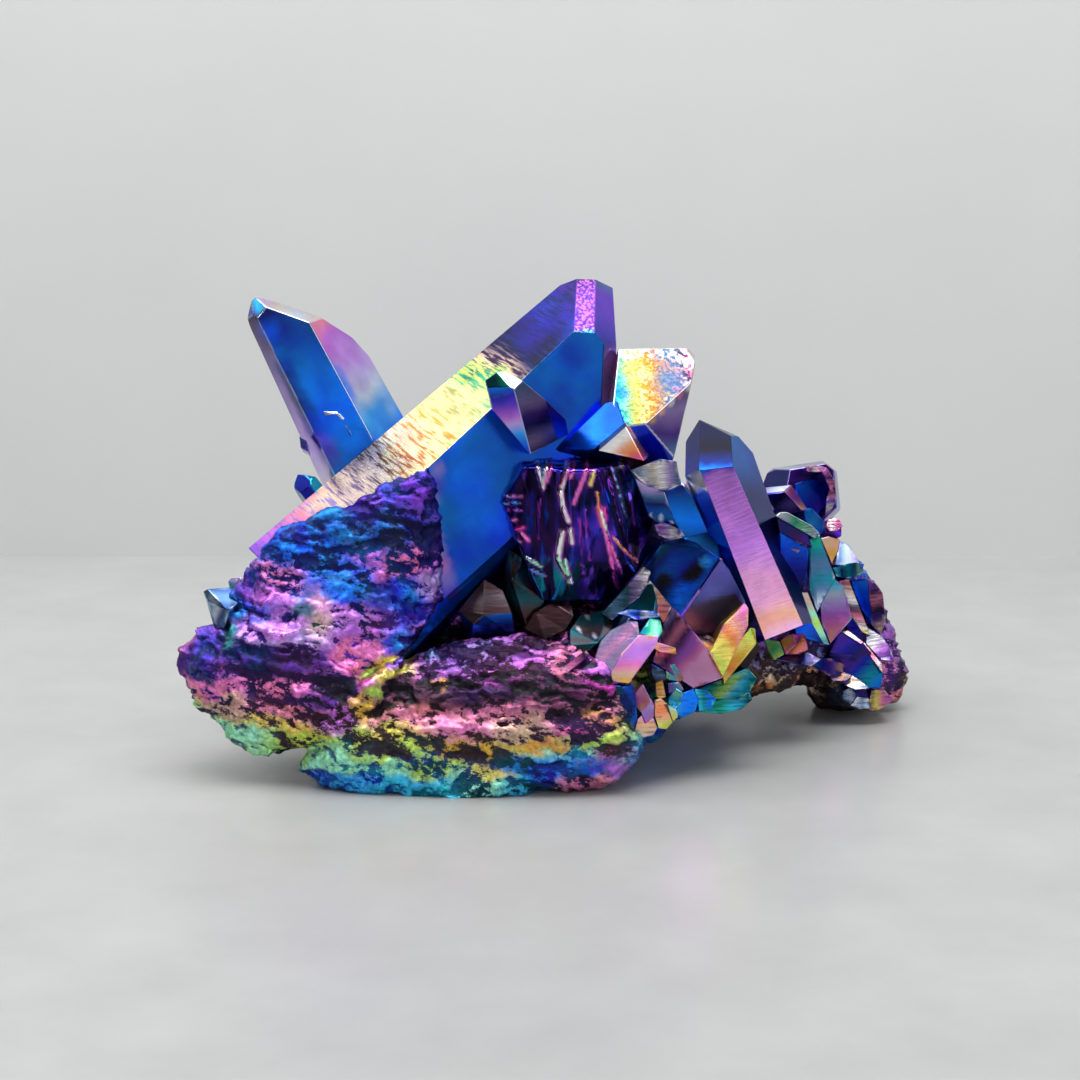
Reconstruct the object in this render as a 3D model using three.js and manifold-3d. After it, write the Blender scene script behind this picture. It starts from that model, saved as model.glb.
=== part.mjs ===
// Aura quartz point: a cluster of metal-coated quartz points grown together on rough matrix rock.
// Millimetres, +Z up, +X along the ridge, -Y the side with the rock lobe. It rests flat on z = 0.
// Everything grew as one piece, so the crystals and the rock are joined into one solid.
import * as THREE from "three";
import { ConvexHull } from "three/addons/math/ConvexHull.js";
import { mergeVertices } from "three/addons/utils/BufferGeometryUtils.js";
import Module from "manifold-3d";

const wasm = await Module();
wasm.setup();

// ---- Driving dimensions --------------------------------------------------------------------

// The cluster is laid out from the front rest of the rock; this point of it becomes the origin.
const CLUSTER_CENTRE = [3.34, 32.97];

// Larger crystals: a centre, then each flat face as [heading, rise, distance from the centre].
// Heading is measured from +X towards +Y, rise is up from level, both in degrees.
const CRYSTALS = {
  giant: {
    centre: [2, 25, 44],
    faces: {
      striated: [-134, 45, 10.3],
      front: [-77, 4, 6],
      tipStrip: [-74, 51, 13.2],
      tipRight: [-33, 33.5, 12.4],
      right: [-36, 1, 7.6],
      farRight: [1.5, 0, 8],
      top: [100, 55, 17.7],
      upperBack: [124, 26, 11.3],
      back: [105, -3, 9],
      under: [-26, -38.5, 8.2],
      foot: [-162, -43, 40],
      lowerBevel: [-57, -19, 8.2],
    },
  },
  leftPoint: {
    centre: [-31, 27, 47],
    faces: {
      front: [-81, 9, 1],
      tipFront: [-117, 35, 9.1],
      right: [-27.5, 27, 4.7],
      tipRight: [-38, 63, 9.3],
      farRight: [35, 24, 13.5],
      tipFarRight: [56, 61.5, 11.6],
      back: [93, -4, 8.2],
      tipBack: [108, 29, 11.6],
      farLeft: [149, -21, 4],
      tipFarLeft: [111, 8, 6.4],
      left: [-144, -19, 1.6],
      tipLeft: [-153, 11, 8.4],
      foot: [-10, -62, 33],
    },
  },
  stripedPoint: {
    centre: [26, 34, 33],
    faces: {
      front: [-92, 17, 5.3],
      tipFront: [-98, 50, 6.3],
      right: [-28, 28.5, 4.2],
      tipRight: [-13, 68, 8],
      farRight: [31, 1, 5.2],
      tipFarRight: [57, 42, 7.6],
      back: [92, -15, 4.5],
      tipBack: [105, 18, 7.3],
      farLeft: [155, -23, 3.4],
      tipFarLeft: [152, 11, 8],
      left: [-146, -8, 5.1],
      tipLeft: [-161, 26, 6.8],
      foot: [-37, -63, 20.4],
    },
  },
  goldPoint: {
    centre: [15, 24, 45],
    faces: {
      tip: [-68, 36, 5.2],
      lowerLeft: [-137, -7, 8.5],
      under: [-103, -48, 5.9],
      lowerRight: [-63, -33, 4.8],
      right: [-41, -8, 3.7],
      farRight: [-1, -13, 3.8],
      corner: [-10, 35, 8.7],
      top: [110, 60, 8.4],
      back: [90, 0, 6],
      left: [-176, 11, 6.5],
    },
  },
  frontTwin: {
    centre: [-2, 14, 44],
    faces: {
      tipLeft: [-120, 22, 6.8],
      tipRight: [-72.5, 51.5, 7.5],
      left: [-117, -16, 2.6],
      right: [-39, 4, 2.3],
      farLeft: [-175, -14, 3.2],
      tipFarRight: [23, 55, 5.3],
      farRight: [-22, 10, 3.2],
      back: [90, 6, 9],
      tipBack: [108, 35, 3.8],
      footLeft: [-173.5, -39.4, 1],
      footRight: [-14, -61.7, 2.4],
    },
  },
  fracturedBlock: {
    centre: [6, 20, 32],
    faces: {
      left: [-114, 0, 8.2],
      middle: [-78, 2, 7.5],
      right: [-40, 13, 7.2],
      lower: [-79, -17, 8.5],
      top: [-87, 85, 8.4],
      upperLeft: [-169, 31, 11.6],
      lowerLeft: [-163, -19, 10],
      upperRight: [6, 23, 7.9],
      lowerRight: [10, -31, 7.4],
      under: [-116, -88, 9.7],
      back: [90, 0, 8],
    },
  },
  bluntPoint: {
    centre: [38, 51, 30],
    faces: {
      left: [-156, 18, 3.7],
      front: [-83, 18, 3.3],
      right: [-12, 7, 5.7],
      top: [161, 81, 4.9],
      topLeft: [180, 52, 5.5],
      topRight: [0, 52, 6.7],
      lowerRight: [-23, -40, 5.1],
      back: [90, 0, 3.1],
      foot: [-120, -80, 12],
    },
  },
  indigoPrism: {
    centre: [24, 30, 18.5],
    faces: {
      front: [-121, 21, 2.3],
      under: [-30, -29, 4.2],
      right: [8, 24, 3.5],
      top: [117, 77, 6.6],
      end: [167, -45, 3.8],
      left: [174, 6, 4.1],
      back: [72, 0, 5],
    },
  },
  frontDouble: {
    centre: [10.5, 9, 17],
    faces: {
      front: [-115, 18, 2.1],
      right: [-63, -8, 2.9],
      top: [-20, 68, 3.6],
      cap: [17, -23, 2.9],
      end: [-148, -22, 3.8],
      under: [-32, -41, 3.2],
      left: [173, 35, 2.6],
      back: [90, 0, 6],
    },
  },
};

// Smaller quartz points: foot and tip as [x, y, z], half width, share of that width across the
// flat pair of faces, and turn about their own length in degrees.
const POINTS = [
  // beside the left point
  { foot: [-26, 25, 29], tip: [-32.6, 26, 37.4], half: 1.9, flat: 0.8, turn: 20 },
  // upright group on the right lobe
  { foot: [39, 48, 25], tip: [31, 46, 33.4], half: 2.4, flat: 0.9, turn: 40 },
  { foot: [37.5, 45, 12], tip: [35, 43.5, 31], half: 3, flat: 0.8, turn: 0 },
  { foot: [44, 43, 9], tip: [38.8, 44, 28.5], half: 2.7, flat: 0.75, turn: 25 },
  { foot: [41.5, 49, 17], tip: [43.6, 52, 27.6], half: 1.7, flat: 1, turn: 0 },
  { foot: [43, 49, 13], tip: [46, 51, 24.6], half: 2.3, flat: 0.9, turn: 30 },
  { foot: [45, 48, 11], tip: [47.8, 50, 21.6], half: 2, flat: 0.9, turn: 10 },
  { foot: [46, 47, 5], tip: [49.6, 50.5, 18.6], half: 2.4, flat: 0.8, turn: 50 },
  { foot: [48, 46, 4], tip: [51.8, 49.5, 14.2], half: 2.2, flat: 0.8, turn: 20 },
  { foot: [47.5, 45, 4], tip: [42.4, 41.5, 12.6], half: 2.7, flat: 0.7, turn: 10 },
  { foot: [39, 44, 9], tip: [44.6, 41, 6.4], half: 1.5, flat: 0.8, turn: 0 },
  // between the block and the striped point
  { foot: [17, 28, 24], tip: [21.6, 35, 38.6], half: 3.6, flat: 0.8, turn: 10 },
  { foot: [13, 26, 26], tip: [17.4, 31, 38.6], half: 3.8, flat: 0.8, turn: 40 },
  { foot: [14, 24, 16], tip: [23.5, 31, 29], half: 3.8, flat: 0.9, turn: 25 },
  { foot: [26, 33, 20], tip: [30, 40, 36], half: 3, flat: 0.8, turn: 0 },
  // under the indigo prism
  { foot: [23.5, 28, 8], tip: [31, 33.5, 16.6], half: 1.9, flat: 0.7, turn: 10 },
  { foot: [30, 36, 7], tip: [37, 38, 12], half: 2, flat: 0.8, turn: 30 },
  // shaded crystals behind the front lobe
  { foot: [-15, 19, 12], tip: [-3.5, 19, 26.5], half: 3.4, flat: 0.8, turn: 15 },
  { foot: [-10, 17, 12], tip: [-3, 15.5, 23.6], half: 2.6, flat: 0.8, turn: 45 },
  { foot: [-3, 17, 13], tip: [4.5, 13, 22.4], half: 2.8, flat: 0.8, turn: 5 },
  { foot: [8, 15, 14], tip: [14.5, 13, 25], half: 3, flat: 0.8, turn: 20 },
  { foot: [12, 15, 12], tip: [19.4, 17.4, 21.6], half: 2.8, flat: 0.9, turn: 35 },
  { foot: [13, 14, 9], tip: [19.5, 10.5, 14], half: 2.2, flat: 0.9, turn: 0 },
  { foot: [18, 20, 9], tip: [23.6, 17.4, 12.6], half: 2.1, flat: 0.8, turn: 40 },
  { foot: [11, 9, 8], tip: [13.4, 3.6, 9.6], half: 1.6, flat: 0.8, turn: 10 },
  // spikes off the left end of the rock
  { foot: [-36, 14, 20], tip: [-43.2, 13.6, 24.2], half: 2, flat: 0.8, turn: 0 },
  { foot: [-35, 15, 24], tip: [-40, 14, 26], half: 1.2, flat: 0.8, turn: 30 },
];

// The front of the rock: masses with flat sides, each the hull of its corners, roughened a little.
const MASSES = {
  upperLeft: {
    rough: 0.26,
    cuts: 6,
    corners: [
      [-34.5, 10.5, 31], [-36, 11.5, 28.5], [-38, 12, 26.5], [-39.5, 12, 24], [-41, 11.5, 20],
      [-32.5, 10, 32], [-26.5, 11, 33.5], [-22.5, 12, 35], [-18.5, 13, 36.5], [-14, 14, 40],
      [-15.5, 14, 34.5], [-15, 13.5, 31.5], [-13, 13, 25], [-12.5, 13, 23], [-15, 11.5, 20],
      [-17.5, 8.5, 17], [-31, 8.5, 27.5], [-35, 8.5, 24], [-35, 7.5, 21.5], [-27.5, 6, 19],
      [-24.5, 6, 17], [-25, 9, 23.5], [-18, 11.5, 25], [-26.5, 5, 11.5], [-39.5, 9, 16],
      [-35, 24, 26], [-16, 24, 31.5], [-15.5, 22, 15.5], [-41.5, 22, 15.5],
    ],
  },
  leftLobe: {
    rough: 0.32,
    cuts: 6,
    corners: [
      [-42.5, 13, 19], [-44.5, 12.5, 18], [-46.5, 12.5, 16], [-47, 12, 13.5], [-46, 11, 11.5],
      [-44.5, 10, 10], [-42, 9, 7.5], [-40.5, 9, 7], [-38.5, 8, 5], [-36.5, 7.5, 3.5],
      [-33, 7, 4], [-41.5, 9.5, 18], [-43.5, 8.5, 15.5], [-35, 7, 21], [-27.5, 5.5, 18],
      [-22, 4, 13.5], [-23.5, 3.5, 7.5], [-36.5, 5, 11], [-30, 4, 12], [-30.5, 4.5, 6],
      [-41.5, 22, 15.5], [-45.5, 18, 11], [-32, 20, 5], [-24, 20, 7.5], [-33.5, 14, 3],
    ],
  },
  frontLobe: {
    rough: 0.32,
    cuts: 7,
    corners: [
      [-16, 8.5, 15.5], [-13, 10.5, 17], [-7.5, 11.5, 18], [-2.5, 12, 18.5], [3.5, 12, 19],
      [-18.5, 5.5, 15], [-7.5, 4.5, 13.5], [2.5, 4, 14.5], [8, 4, 15.5], [-22, 2.5, 7],
      [-11, 1, 9], [0, 0.5, 8.5], [9, 1, 7.5], [13, 3.5, 6.5], [12, 3.5, 3.5],
      [9, 3, 1.5], [-31, 6, 3], [-29.5, 5.5, 1.5], [-28, 4.5, 0.5], [-24.5, 3.5, 0],
      [-19.5, 2, 0], [-11.5, 1, -0.5], [-6.5, 1.5, 0], [1, 2, 0.5], [7.5, 3, 1],
      [-26.5, 3.5, 6], [-27.5, 14, -1.5], [10.5, 14, -0.5], [-16, 16, -3.5], [2.5, 16, -3],
      [-16, 24, 14.5], [8, 24, 14.5], [14, 16, 3.5],
    ],
  },
  wedge: {
    rough: 0.2,
    cuts: 3,
    corners: [
      [-17, 6, 17], [-21.5, 3, 14], [-23, 2, 12], [-22.5, 1.5, 6.5], [-24.5, 2.5, 3],
      [-26.5, 3.5, 7.5], [-19.5, 4, 9.5], [-28, 5, 11.5], [-18, 14, 14.5], [-25, 12, 0.5],
      [-27.5, 14, 10.5],
    ],
  },
};

// The rest of the rock is lumps: centre [x, y, z], radii [x, y, z], turn about the vertical and tilt
// down to the left in degrees, roughness of the surface, and the cuts along each edge of the ball.
const LUMPS = [
  { centre: [1, 23, 8.5], radii: [20, 10.6, 8], turn: 12, tilt: 0, rough: 0.6, cuts: 3 },
  { centre: [20, 24.5, 11.4], radii: [9.4, 8.6, 5.4], turn: 40, tilt: 0, rough: 0.6, cuts: 4 },
  { centre: [29, 36, 12.6], radii: [9.6, 10, 7.6], turn: 40, tilt: 0, rough: 0.7, cuts: 4 },
  { centre: [39.6, 50, 13.4], radii: [8.4, 7.2, 9], turn: 20, tilt: 0, rough: 0.7, cuts: 4 },
  { centre: [38, 41.5, 9.4], radii: [9.6, 5.4, 4.4], turn: 27, tilt: -6, rough: 0.6, cuts: 4 },
  { centre: [47.6, 45.8, 7], radii: [5, 4.8, 7.6], turn: 0, tilt: 18, rough: 0.5, cuts: 3 },
  { centre: [43.4, 44.4, 4.2], radii: [6.4, 4.8, 4.4], turn: 20, tilt: 0, rough: 0.5, cuts: 3 },
  { centre: [-1, 39, 12], radii: [19, 12, 12.2], turn: 8, tilt: 0, rough: 1, cuts: 4 },
  { centre: [-22, 29, 17], radii: [13.6, 12, 11.4], turn: -10, tilt: 8, rough: 0.9, cuts: 3 },
  { centre: [22, 44, 14], radii: [15, 10, 10], turn: 15, tilt: 0, rough: 0.9, cuts: 3 },
];

// How square the lumps are: 1 is a plain ball, less is more like a rounded block.
const BLOCKINESS = 0.72;
const SQUARED_SCALE = 0.97;

// Points that cover the back: how many, the arc of the ridge they stand on, and their size range.
const BACK_POINTS = { count: 24, seed: 7, start: [-27, 36, 18], middle: [0, 46, 22], end: [34, 53, 20] };
const BACK_LENGTH = [9, 20];
const BACK_HALF_WIDTH = [1.8, 3.8];

// Angle between a quartz tip face and the length of the crystal, in degrees.
const TIP_ANGLE = 38.2;
const STOCK = 300;

// ---- Shapes ----------------------------------------------------------------------------------

// A closed three.js geometry as a solid that can be joined and cut.
function solidOf(geometry) {
  const bare = new THREE.BufferGeometry();
  const source = geometry.index ? geometry.toNonIndexed() : geometry;
  bare.setAttribute("position", source.getAttribute("position"));
  const merged = mergeVertices(bare, 1e-4);
  const mesh = new wasm.Mesh({
    numProp: 3,
    vertProperties: new Float32Array(merged.attributes.position.array),
    triVerts: new Uint32Array(merged.index.array),
  });
  return new wasm.Manifold(mesh);
}

// A direction from its heading and its rise, in degrees.
function direction(heading, rise) {
  const h = THREE.MathUtils.degToRad(heading);
  const r = THREE.MathUtils.degToRad(rise);
  return new THREE.Vector3(Math.cos(h) * Math.cos(r), Math.sin(h) * Math.cos(r), Math.sin(r));
}

// What is left of a block of stock once every face has been cut: faces are [normal, offset].
function cutBody(centre, faces) {
  const block = new THREE.BoxGeometry(STOCK, STOCK, STOCK);
  block.translate(centre.x, centre.y, centre.z);
  let body = solidOf(block);
  for (const [normal, offset] of faces) {
    body = body.trimByPlane([-normal.x, -normal.y, -normal.z], -offset);
  }
  return body;
}

// A large crystal from its named faces.
function facetedCrystal({ centre, faces }) {
  const middle = new THREE.Vector3(...centre);
  const planes = Object.values(faces).map(([heading, rise, distance]) => {
    const normal = direction(heading, rise);
    return [normal, normal.dot(middle) + distance];
  });
  return cutBody(middle, planes);
}

// A six-sided quartz point: six sides, and six tip faces that meet at the tip.
function quartzPoint({ foot, tip, half, flat, turn }) {
  const bottom = new THREE.Vector3(...foot);
  const top = new THREE.Vector3(...tip);
  const axis = top.clone().sub(bottom).normalize();
  const turned = new THREE.Quaternion().setFromUnitVectors(new THREE.Vector3(0, 0, 1), axis);
  const planes = [[axis.clone().negate(), -axis.dot(bottom)]];
  const tilt = THREE.MathUtils.degToRad(90 - TIP_ANGLE);
  for (let i = 0; i < 6; i += 1) {
    const around = THREE.MathUtils.degToRad(60 * i + turn);
    const outward = new THREE.Vector3(Math.cos(around), Math.sin(around), 0).applyQuaternion(turned);
    const width = i % 3 === 0 ? half * flat : half;
    planes.push([outward, outward.dot(top) + width]);
    const face = outward.clone().multiplyScalar(Math.sin(tilt)).addScaledVector(axis, Math.cos(tilt));
    // Every other tip face is cut deeper, which leaves the uneven tip of real quartz.
    const deeper = i % 2 === 0 ? 0 : half * 0.22;
    planes.push([face, face.dot(top) + deeper]);
  }
  return cutBody(top, planes);
}

// A repeatable number from 0 to 1 for a whole-number grid place.
function gridValue(x, y, z) {
  const wave = Math.sin(x * 127.1 + y * 311.7 + z * 74.7) * 43758.5453;
  return wave - Math.floor(wave);
}

// Smooth noise from -1 to 1 over space.
function noise(x, y, z) {
  const cell = [Math.floor(x), Math.floor(y), Math.floor(z)];
  const part = [x - cell[0], y - cell[1], z - cell[2]].map((t) => t * t * (3 - 2 * t));
  let sum = 0;
  for (let corner = 0; corner < 8; corner += 1) {
    const step = [corner & 1, (corner >> 1) & 1, (corner >> 2) & 1];
    const weight = step.reduce((w, s, axis) => w * (s ? part[axis] : 1 - part[axis]), 1);
    sum += weight * gridValue(cell[0] + step[0], cell[1] + step[1], cell[2] + step[2]);
  }
  return sum * 2 - 1;
}

// How far the rock stands out at a place: broad swells, sharper ribs, and broken ledges.
function rockHeight(p) {
  const swell = noise(p.x / 8, p.y / 8, p.z / 6.5);
  const rib = 1 - 2 * Math.abs(noise(p.x / 5.6 + 9, p.y / 5.6, p.z / 3.6 + 5));
  const grain = noise(p.x / 2.6 + 40, p.y / 2.6, p.z / 2.1);
  return 1.9 * swell + 1.1 * rib + 1.1 * grain;
}

// One coordinate of a ball moved out towards the corners of a block.
function squared(value) {
  return Math.sign(value) * Math.abs(value) ** BLOCKINESS;
}

// A rough lump of rock: a ball of flat faces made blocky, stretched to size and roughened.
function rockLump({ centre, radii, turn, tilt, rough, cuts }) {
  const start = new THREE.BufferGeometry();
  start.setAttribute("position", new THREE.IcosahedronGeometry(1, cuts).getAttribute("position"));
  const ball = mergeVertices(start, 1e-4);
  const position = ball.getAttribute("position");
  const size = new THREE.Vector3(...radii);
  const middle = new THREE.Vector3(...centre);
  const about = new THREE.Euler(0, THREE.MathUtils.degToRad(-tilt), THREE.MathUtils.degToRad(turn), "ZYX");
  const p = new THREE.Vector3();
  const outward = new THREE.Vector3();
  for (let i = 0; i < position.count; i += 1) {
    p.fromBufferAttribute(position, i);
    outward.copy(p).divide(size).normalize();
    p.set(squared(p.x), squared(p.y), squared(p.z)).multiplyScalar(SQUARED_SCALE);
    p.multiply(size).applyEuler(about).add(middle);
    outward.applyEuler(about);
    p.addScaledVector(outward, rough * rockHeight(p));
    position.setXYZ(i, p.x, p.y, p.z);
  }
  return solidOf(ball);
}

// The sides of the hull of some corners, as [normal, offset].
function hullSides(corners) {
  const hull = new ConvexHull().setFromPoints(corners);
  return hull.faces.map((face) => [face.normal.clone(), face.constant]);
}

// A rough mass of rock: each point of a ball goes out to the hull of the corners, then is roughened.
function rockMass({ rough, cuts, corners }) {
  const points = corners.map((corner) => new THREE.Vector3(...corner));
  const middle = new THREE.Vector3();
  points.forEach((point) => middle.addScaledVector(point, 1 / points.length));
  const sides = hullSides(points);
  const start = new THREE.BufferGeometry();
  start.setAttribute("position", new THREE.IcosahedronGeometry(1, cuts).getAttribute("position"));
  const ball = mergeVertices(start, 1e-4);
  const position = ball.getAttribute("position");
  const way = new THREE.Vector3();
  for (let i = 0; i < position.count; i += 1) {
    way.fromBufferAttribute(position, i);
    let reach = Infinity;
    let outward = null;
    for (const [normal, offset] of sides) {
      const facing = normal.dot(way);
      const distance = facing > 1e-4 ? (offset - normal.dot(middle)) / facing : Infinity;
      if (distance < reach) {
        reach = distance;
        outward = normal;
      }
    }
    const p = middle.clone().addScaledVector(way, reach);
    p.addScaledVector(outward, rough * rockHeight(p));
    position.setXYZ(i, p.x, p.y, p.z);
  }
  return solidOf(ball);
}

// A repeatable sequence of numbers from 0 to 1.
function sequence(seed) {
  let state = seed * 7919 + 13;
  return () => {
    state = (state * 16807) % 2147483647;
    return state / 2147483647;
  };
}

// The points at the back stand on a curved line and lean out from it.
function backPoints() {
  const next = sequence(BACK_POINTS.seed);
  const between = ([low, high]) => low + (high - low) * next();
  const ridge = new THREE.QuadraticBezierCurve3(
    new THREE.Vector3(...BACK_POINTS.start),
    new THREE.Vector3(...BACK_POINTS.middle),
    new THREE.Vector3(...BACK_POINTS.end),
  );
  const points = [];
  for (let i = 0; i < BACK_POINTS.count; i += 1) {
    const share = (i + 0.5) / BACK_POINTS.count;
    const foot = ridge.getPoint(share).add(new THREE.Vector3(0, 4 * next() - 2, -8 + 10 * next()));
    const lean = 25 + 60 * next();
    const outward = direction(125 - 70 * share + 30 * (next() - 0.5), 90 - lean);
    const length = between(BACK_LENGTH);
    points.push({
      foot: foot.toArray(),
      tip: foot.clone().addScaledVector(outward, length).toArray(),
      half: between(BACK_HALF_WIDTH),
      flat: 0.7 + 0.3 * next(),
      turn: 60 * next(),
    });
  }
  return points;
}

// ---- The cluster -----------------------------------------------------------------------------

const pieces = [
  ...Object.values(MASSES).map(rockMass),
  ...LUMPS.map(rockLump),
  ...Object.values(CRYSTALS).map(facetedCrystal),
  ...POINTS.map(quartzPoint),
  ...backPoints().map(quartzPoint),
];
const joined = pieces.reduce((whole, piece) => whole.add(piece));
const rested = joined.trimByPlane([0, 0, 1], 0);

// Any pocket shut inside is filled: the outer skin is the largest of the closed skins.
const skins = rested.decompose();
const outer = skins.reduce((a, b) => (b.volume() > a.volume() ? b : a));

const made = outer.getMesh();
const geometry = new THREE.BufferGeometry();
geometry.setAttribute("position", new THREE.BufferAttribute(new Float32Array(made.vertProperties), 3));
geometry.setIndex(new THREE.BufferAttribute(new Uint32Array(made.triVerts), 1));
geometry.translate(-CLUSTER_CENTRE[0], -CLUSTER_CENTRE[1], 0);

const coating = new THREE.MeshStandardMaterial({ color: "#2f55c8", metalness: 0.7, roughness: 0.25 });
coating.flatShading = true;
const cluster = new THREE.Mesh(geometry, coating);
cluster.name = "quartz_cluster";

const part = new THREE.Group();
part.name = "aura_quartz_point";
part.add(cluster);

export default part;
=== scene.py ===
# Aura quartz cluster: metal-coated quartz points grown together on rough matrix rock.
import math
import random

import bmesh
import bpy
import numpy as np
from mathutils import Euler, Matrix, Vector, noise


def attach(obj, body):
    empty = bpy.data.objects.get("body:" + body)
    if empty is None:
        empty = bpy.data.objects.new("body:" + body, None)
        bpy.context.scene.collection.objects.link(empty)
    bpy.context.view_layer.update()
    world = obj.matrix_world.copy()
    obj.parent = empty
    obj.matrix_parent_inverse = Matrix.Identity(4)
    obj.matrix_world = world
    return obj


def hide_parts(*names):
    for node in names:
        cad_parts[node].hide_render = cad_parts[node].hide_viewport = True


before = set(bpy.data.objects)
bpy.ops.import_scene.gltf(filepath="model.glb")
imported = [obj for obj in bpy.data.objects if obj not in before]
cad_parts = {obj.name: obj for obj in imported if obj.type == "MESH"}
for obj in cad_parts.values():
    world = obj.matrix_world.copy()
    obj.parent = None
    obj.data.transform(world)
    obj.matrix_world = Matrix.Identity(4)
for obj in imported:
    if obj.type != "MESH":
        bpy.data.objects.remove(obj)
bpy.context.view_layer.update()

mm = 0.001
clusterCentre = Vector((3.34, 32.97, 0.0))  # this point of the layout is the origin
scene = bpy.context.scene
print("frame loaded")


def linearColour(hexCode):
    parts = [int(hexCode[i:i + 2], 16) / 255 for i in (1, 3, 5)]
    return tuple(p / 12.92 if p <= 0.04045 else ((p + 0.055) / 1.055) ** 2.4 for p in parts)


# Interference colours of the oxide film, in the order in which the film thickens, and mixes.
filmColours = {
    "black": "#0b0714", "umber": "#3a2326", "plum": "#2c1046", "navy": "#071a66", "ink": "#0528a0",
    "cobalt": "#0046d2", "azure": "#0068f0", "sky": "#2f9bf0", "cyan": "#35c9f0", "teal": "#047f96",
    "pine": "#04424e", "green": "#18b088", "mint": "#9df0c8", "lime": "#b6dc5a", "yellow": "#f2e06a",
    "gold": "#dca83a", "amber": "#c9762c", "orange": "#f08a4a", "peach": "#f4b28c", "champagne": "#d9b9a0",
    "rose": "#e07fa4", "pink": "#ee7cc0", "hotPink": "#e646a8", "magenta": "#b8329e", "orchid": "#b463d0",
    "violet": "#5a34c4", "purple": "#3c1c86", "indigo": "#1a1f9e", "lilac": "#b79be0", "mauve": "#8f7bb8",
    "slate": "#4f74a0", "mist": "#b9c6dc", "pearl": "#e9e2e6", "blush": "#ffb4ec", "heather": "#cc86f2",
    "straw": "#efe4a2", "midnight": "#020830", "lapis": "#0050ae", "dusk": "#2a3070", "haze": "#5a5cb0",
    "smoke": "#4a4048", "maroon": "#3a1636", "white": "#ffffff", "beige": "#cdbfb6",
}
film = {name: np.array(linearColour(code)) for name, code in filmColours.items()}
tiny = 1e-6  # keeps a division away from zero


def colourStops(run):
    # film colours named in a string or list are evenly spaced; (name, place) puts one at a place
    entries = run.split() if isinstance(run, str) else run
    last = max(1, len(entries) - 1)
    return [(i / last, film[e]) if isinstance(e, str) else (e[1], film[e[0]]) for i, e in enumerate(entries)]


def colourAt(stops, share):
    if share <= stops[0][0]:
        return stops[0][1]
    for (a, low), (b, high) in zip(stops, stops[1:]):
        if share <= b:
            t = (share - a) / max(tiny, b - a)
            return low * (1 - t) + high * t
    return stops[-1][1]


noiseBand = (0.3, 0.7)  # most values of a noise texture lie between these


def addNode(tree, kind, settings=None, links=None):
    # settings: socket (name or number) or property name to value; links: socket to an output socket
    node = tree.nodes.new(kind)
    for name, value in (settings or {}).items():
        if isinstance(name, int) or name in node.inputs:
            node.inputs[name].default_value = value
        else:
            setattr(node, name, value)
    for name, output in (links or {}).items():
        tree.links.new(output, node.inputs[name])
    return node


def emptyMaterial(name):
    material = bpy.data.materials.new(name)
    material.use_nodes = True
    material.node_tree.nodes.clear()
    return material, material.node_tree


def surfaceValue(tree, name, output):
    return addNode(tree, "ShaderNodeAttribute", {"attribute_name": name}).outputs[output]


def noiseValue(tree, place, **settings):
    sockets = {name.capitalize(): value for name, value in settings.items()}
    return addNode(tree, "ShaderNodeTexNoise", sockets, {"Vector": place}).outputs["Fac"]


def spreadOver(tree, value, start, end, kind="LINEAR"):
    # the value between the two numbers of start becomes one between the two of end
    limits = {"From Min": start[0], "From Max": start[1], "To Min": end[0], "To Max": end[1]}
    node = addNode(tree, "ShaderNodeMapRange", {"interpolation_type": kind, **limits}, {"Value": value})
    return node.outputs["Result"]


def around(middle, reach):
    return middle - reach, middle + reach


filmGloss = {"Coat Roughness": 0.06, "Specular IOR Level": 0.6}  # the same on every coated face


def coatedMaterial(name, look):
    # The mesh holds two film colours: "coating" on the high grain and "hollow" in the low grain, "worn" for
    # how much of the second shows, and "growth" for the place in mm along the grain.
    # The hollow colour is partly the film's own and partly painted shade in the low grain; more of it also makes the
    # grain rougher and the bump deeper.
    material, tree = emptyMaterial(name)
    growth = surfaceValue(tree, "growth", "Vector")
    coating = surfaceValue(tree, "coating", "Color")
    hollow = surfaceValue(tree, "hollow", "Color")
    worn = surfaceValue(tree, "worn", "Fac")
    grainScale = {"Scale": tuple(1 / v for v in look["streakMm"])}
    stretch = addNode(tree, "ShaderNodeMapping", grainScale, {"Vector": growth})
    streak = noiseValue(tree, stretch.outputs["Vector"], scale=1.0, detail=5.0, roughness=look["streakDetail"])
    shifted = addNode(tree, "ShaderNodeMath", {"operation": "ADD"}, {0: streak, 1: worn})
    amount = spreadOver(tree, shifted.outputs["Value"], around(1, look["fadeShare"]), (0.0, 1.0), "SMOOTHSTEP")
    mixed = addNode(tree, "ShaderNodeMix", {"data_type": "RGBA"}, {0: amount, 6: coating, 7: hollow})
    drift = noiseValue(tree, growth, scale=1 / look["driftMm"], detail=3.0)
    hue = spreadOver(tree, drift, noiseBand, around(0.5, look["hueDrift"]))
    fine = noiseValue(tree, growth, scale=1 / look["grainMm"], detail=3.0, roughness=0.5)
    value = spreadOver(tree, fine, noiseBand, around(1, look["valueDrift"]))
    tint = addNode(tree, "ShaderNodeHueSaturation", {}, {"Hue": hue, "Value": value, "Color": mixed.outputs[2]})
    rough = spreadOver(tree, worn, (0.0, 1.0), look["roughness"])
    depth = addNode(tree, "ShaderNodeMath", {"operation": "MULTIPLY", 1: look["bump"]}, {0: worn})
    bump = addNode(tree, "ShaderNodeBump", {"Distance": look["bumpMm"] * mm, "invert": True},
                   {"Height": streak, "Strength": depth.outputs["Value"]})
    metal = {"Metallic": look["metallic"], "Coat Weight": look["coat"], **filmGloss}
    surface = addNode(tree, "ShaderNodeBsdfPrincipled", metal, {
        "Base Color": tint.outputs["Color"], "Roughness": rough, "Normal": bump.outputs["Normal"]})
    addNode(tree, "ShaderNodeOutputMaterial", {}, {"Surface": surface.outputs["BSDF"]})
    return material


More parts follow.
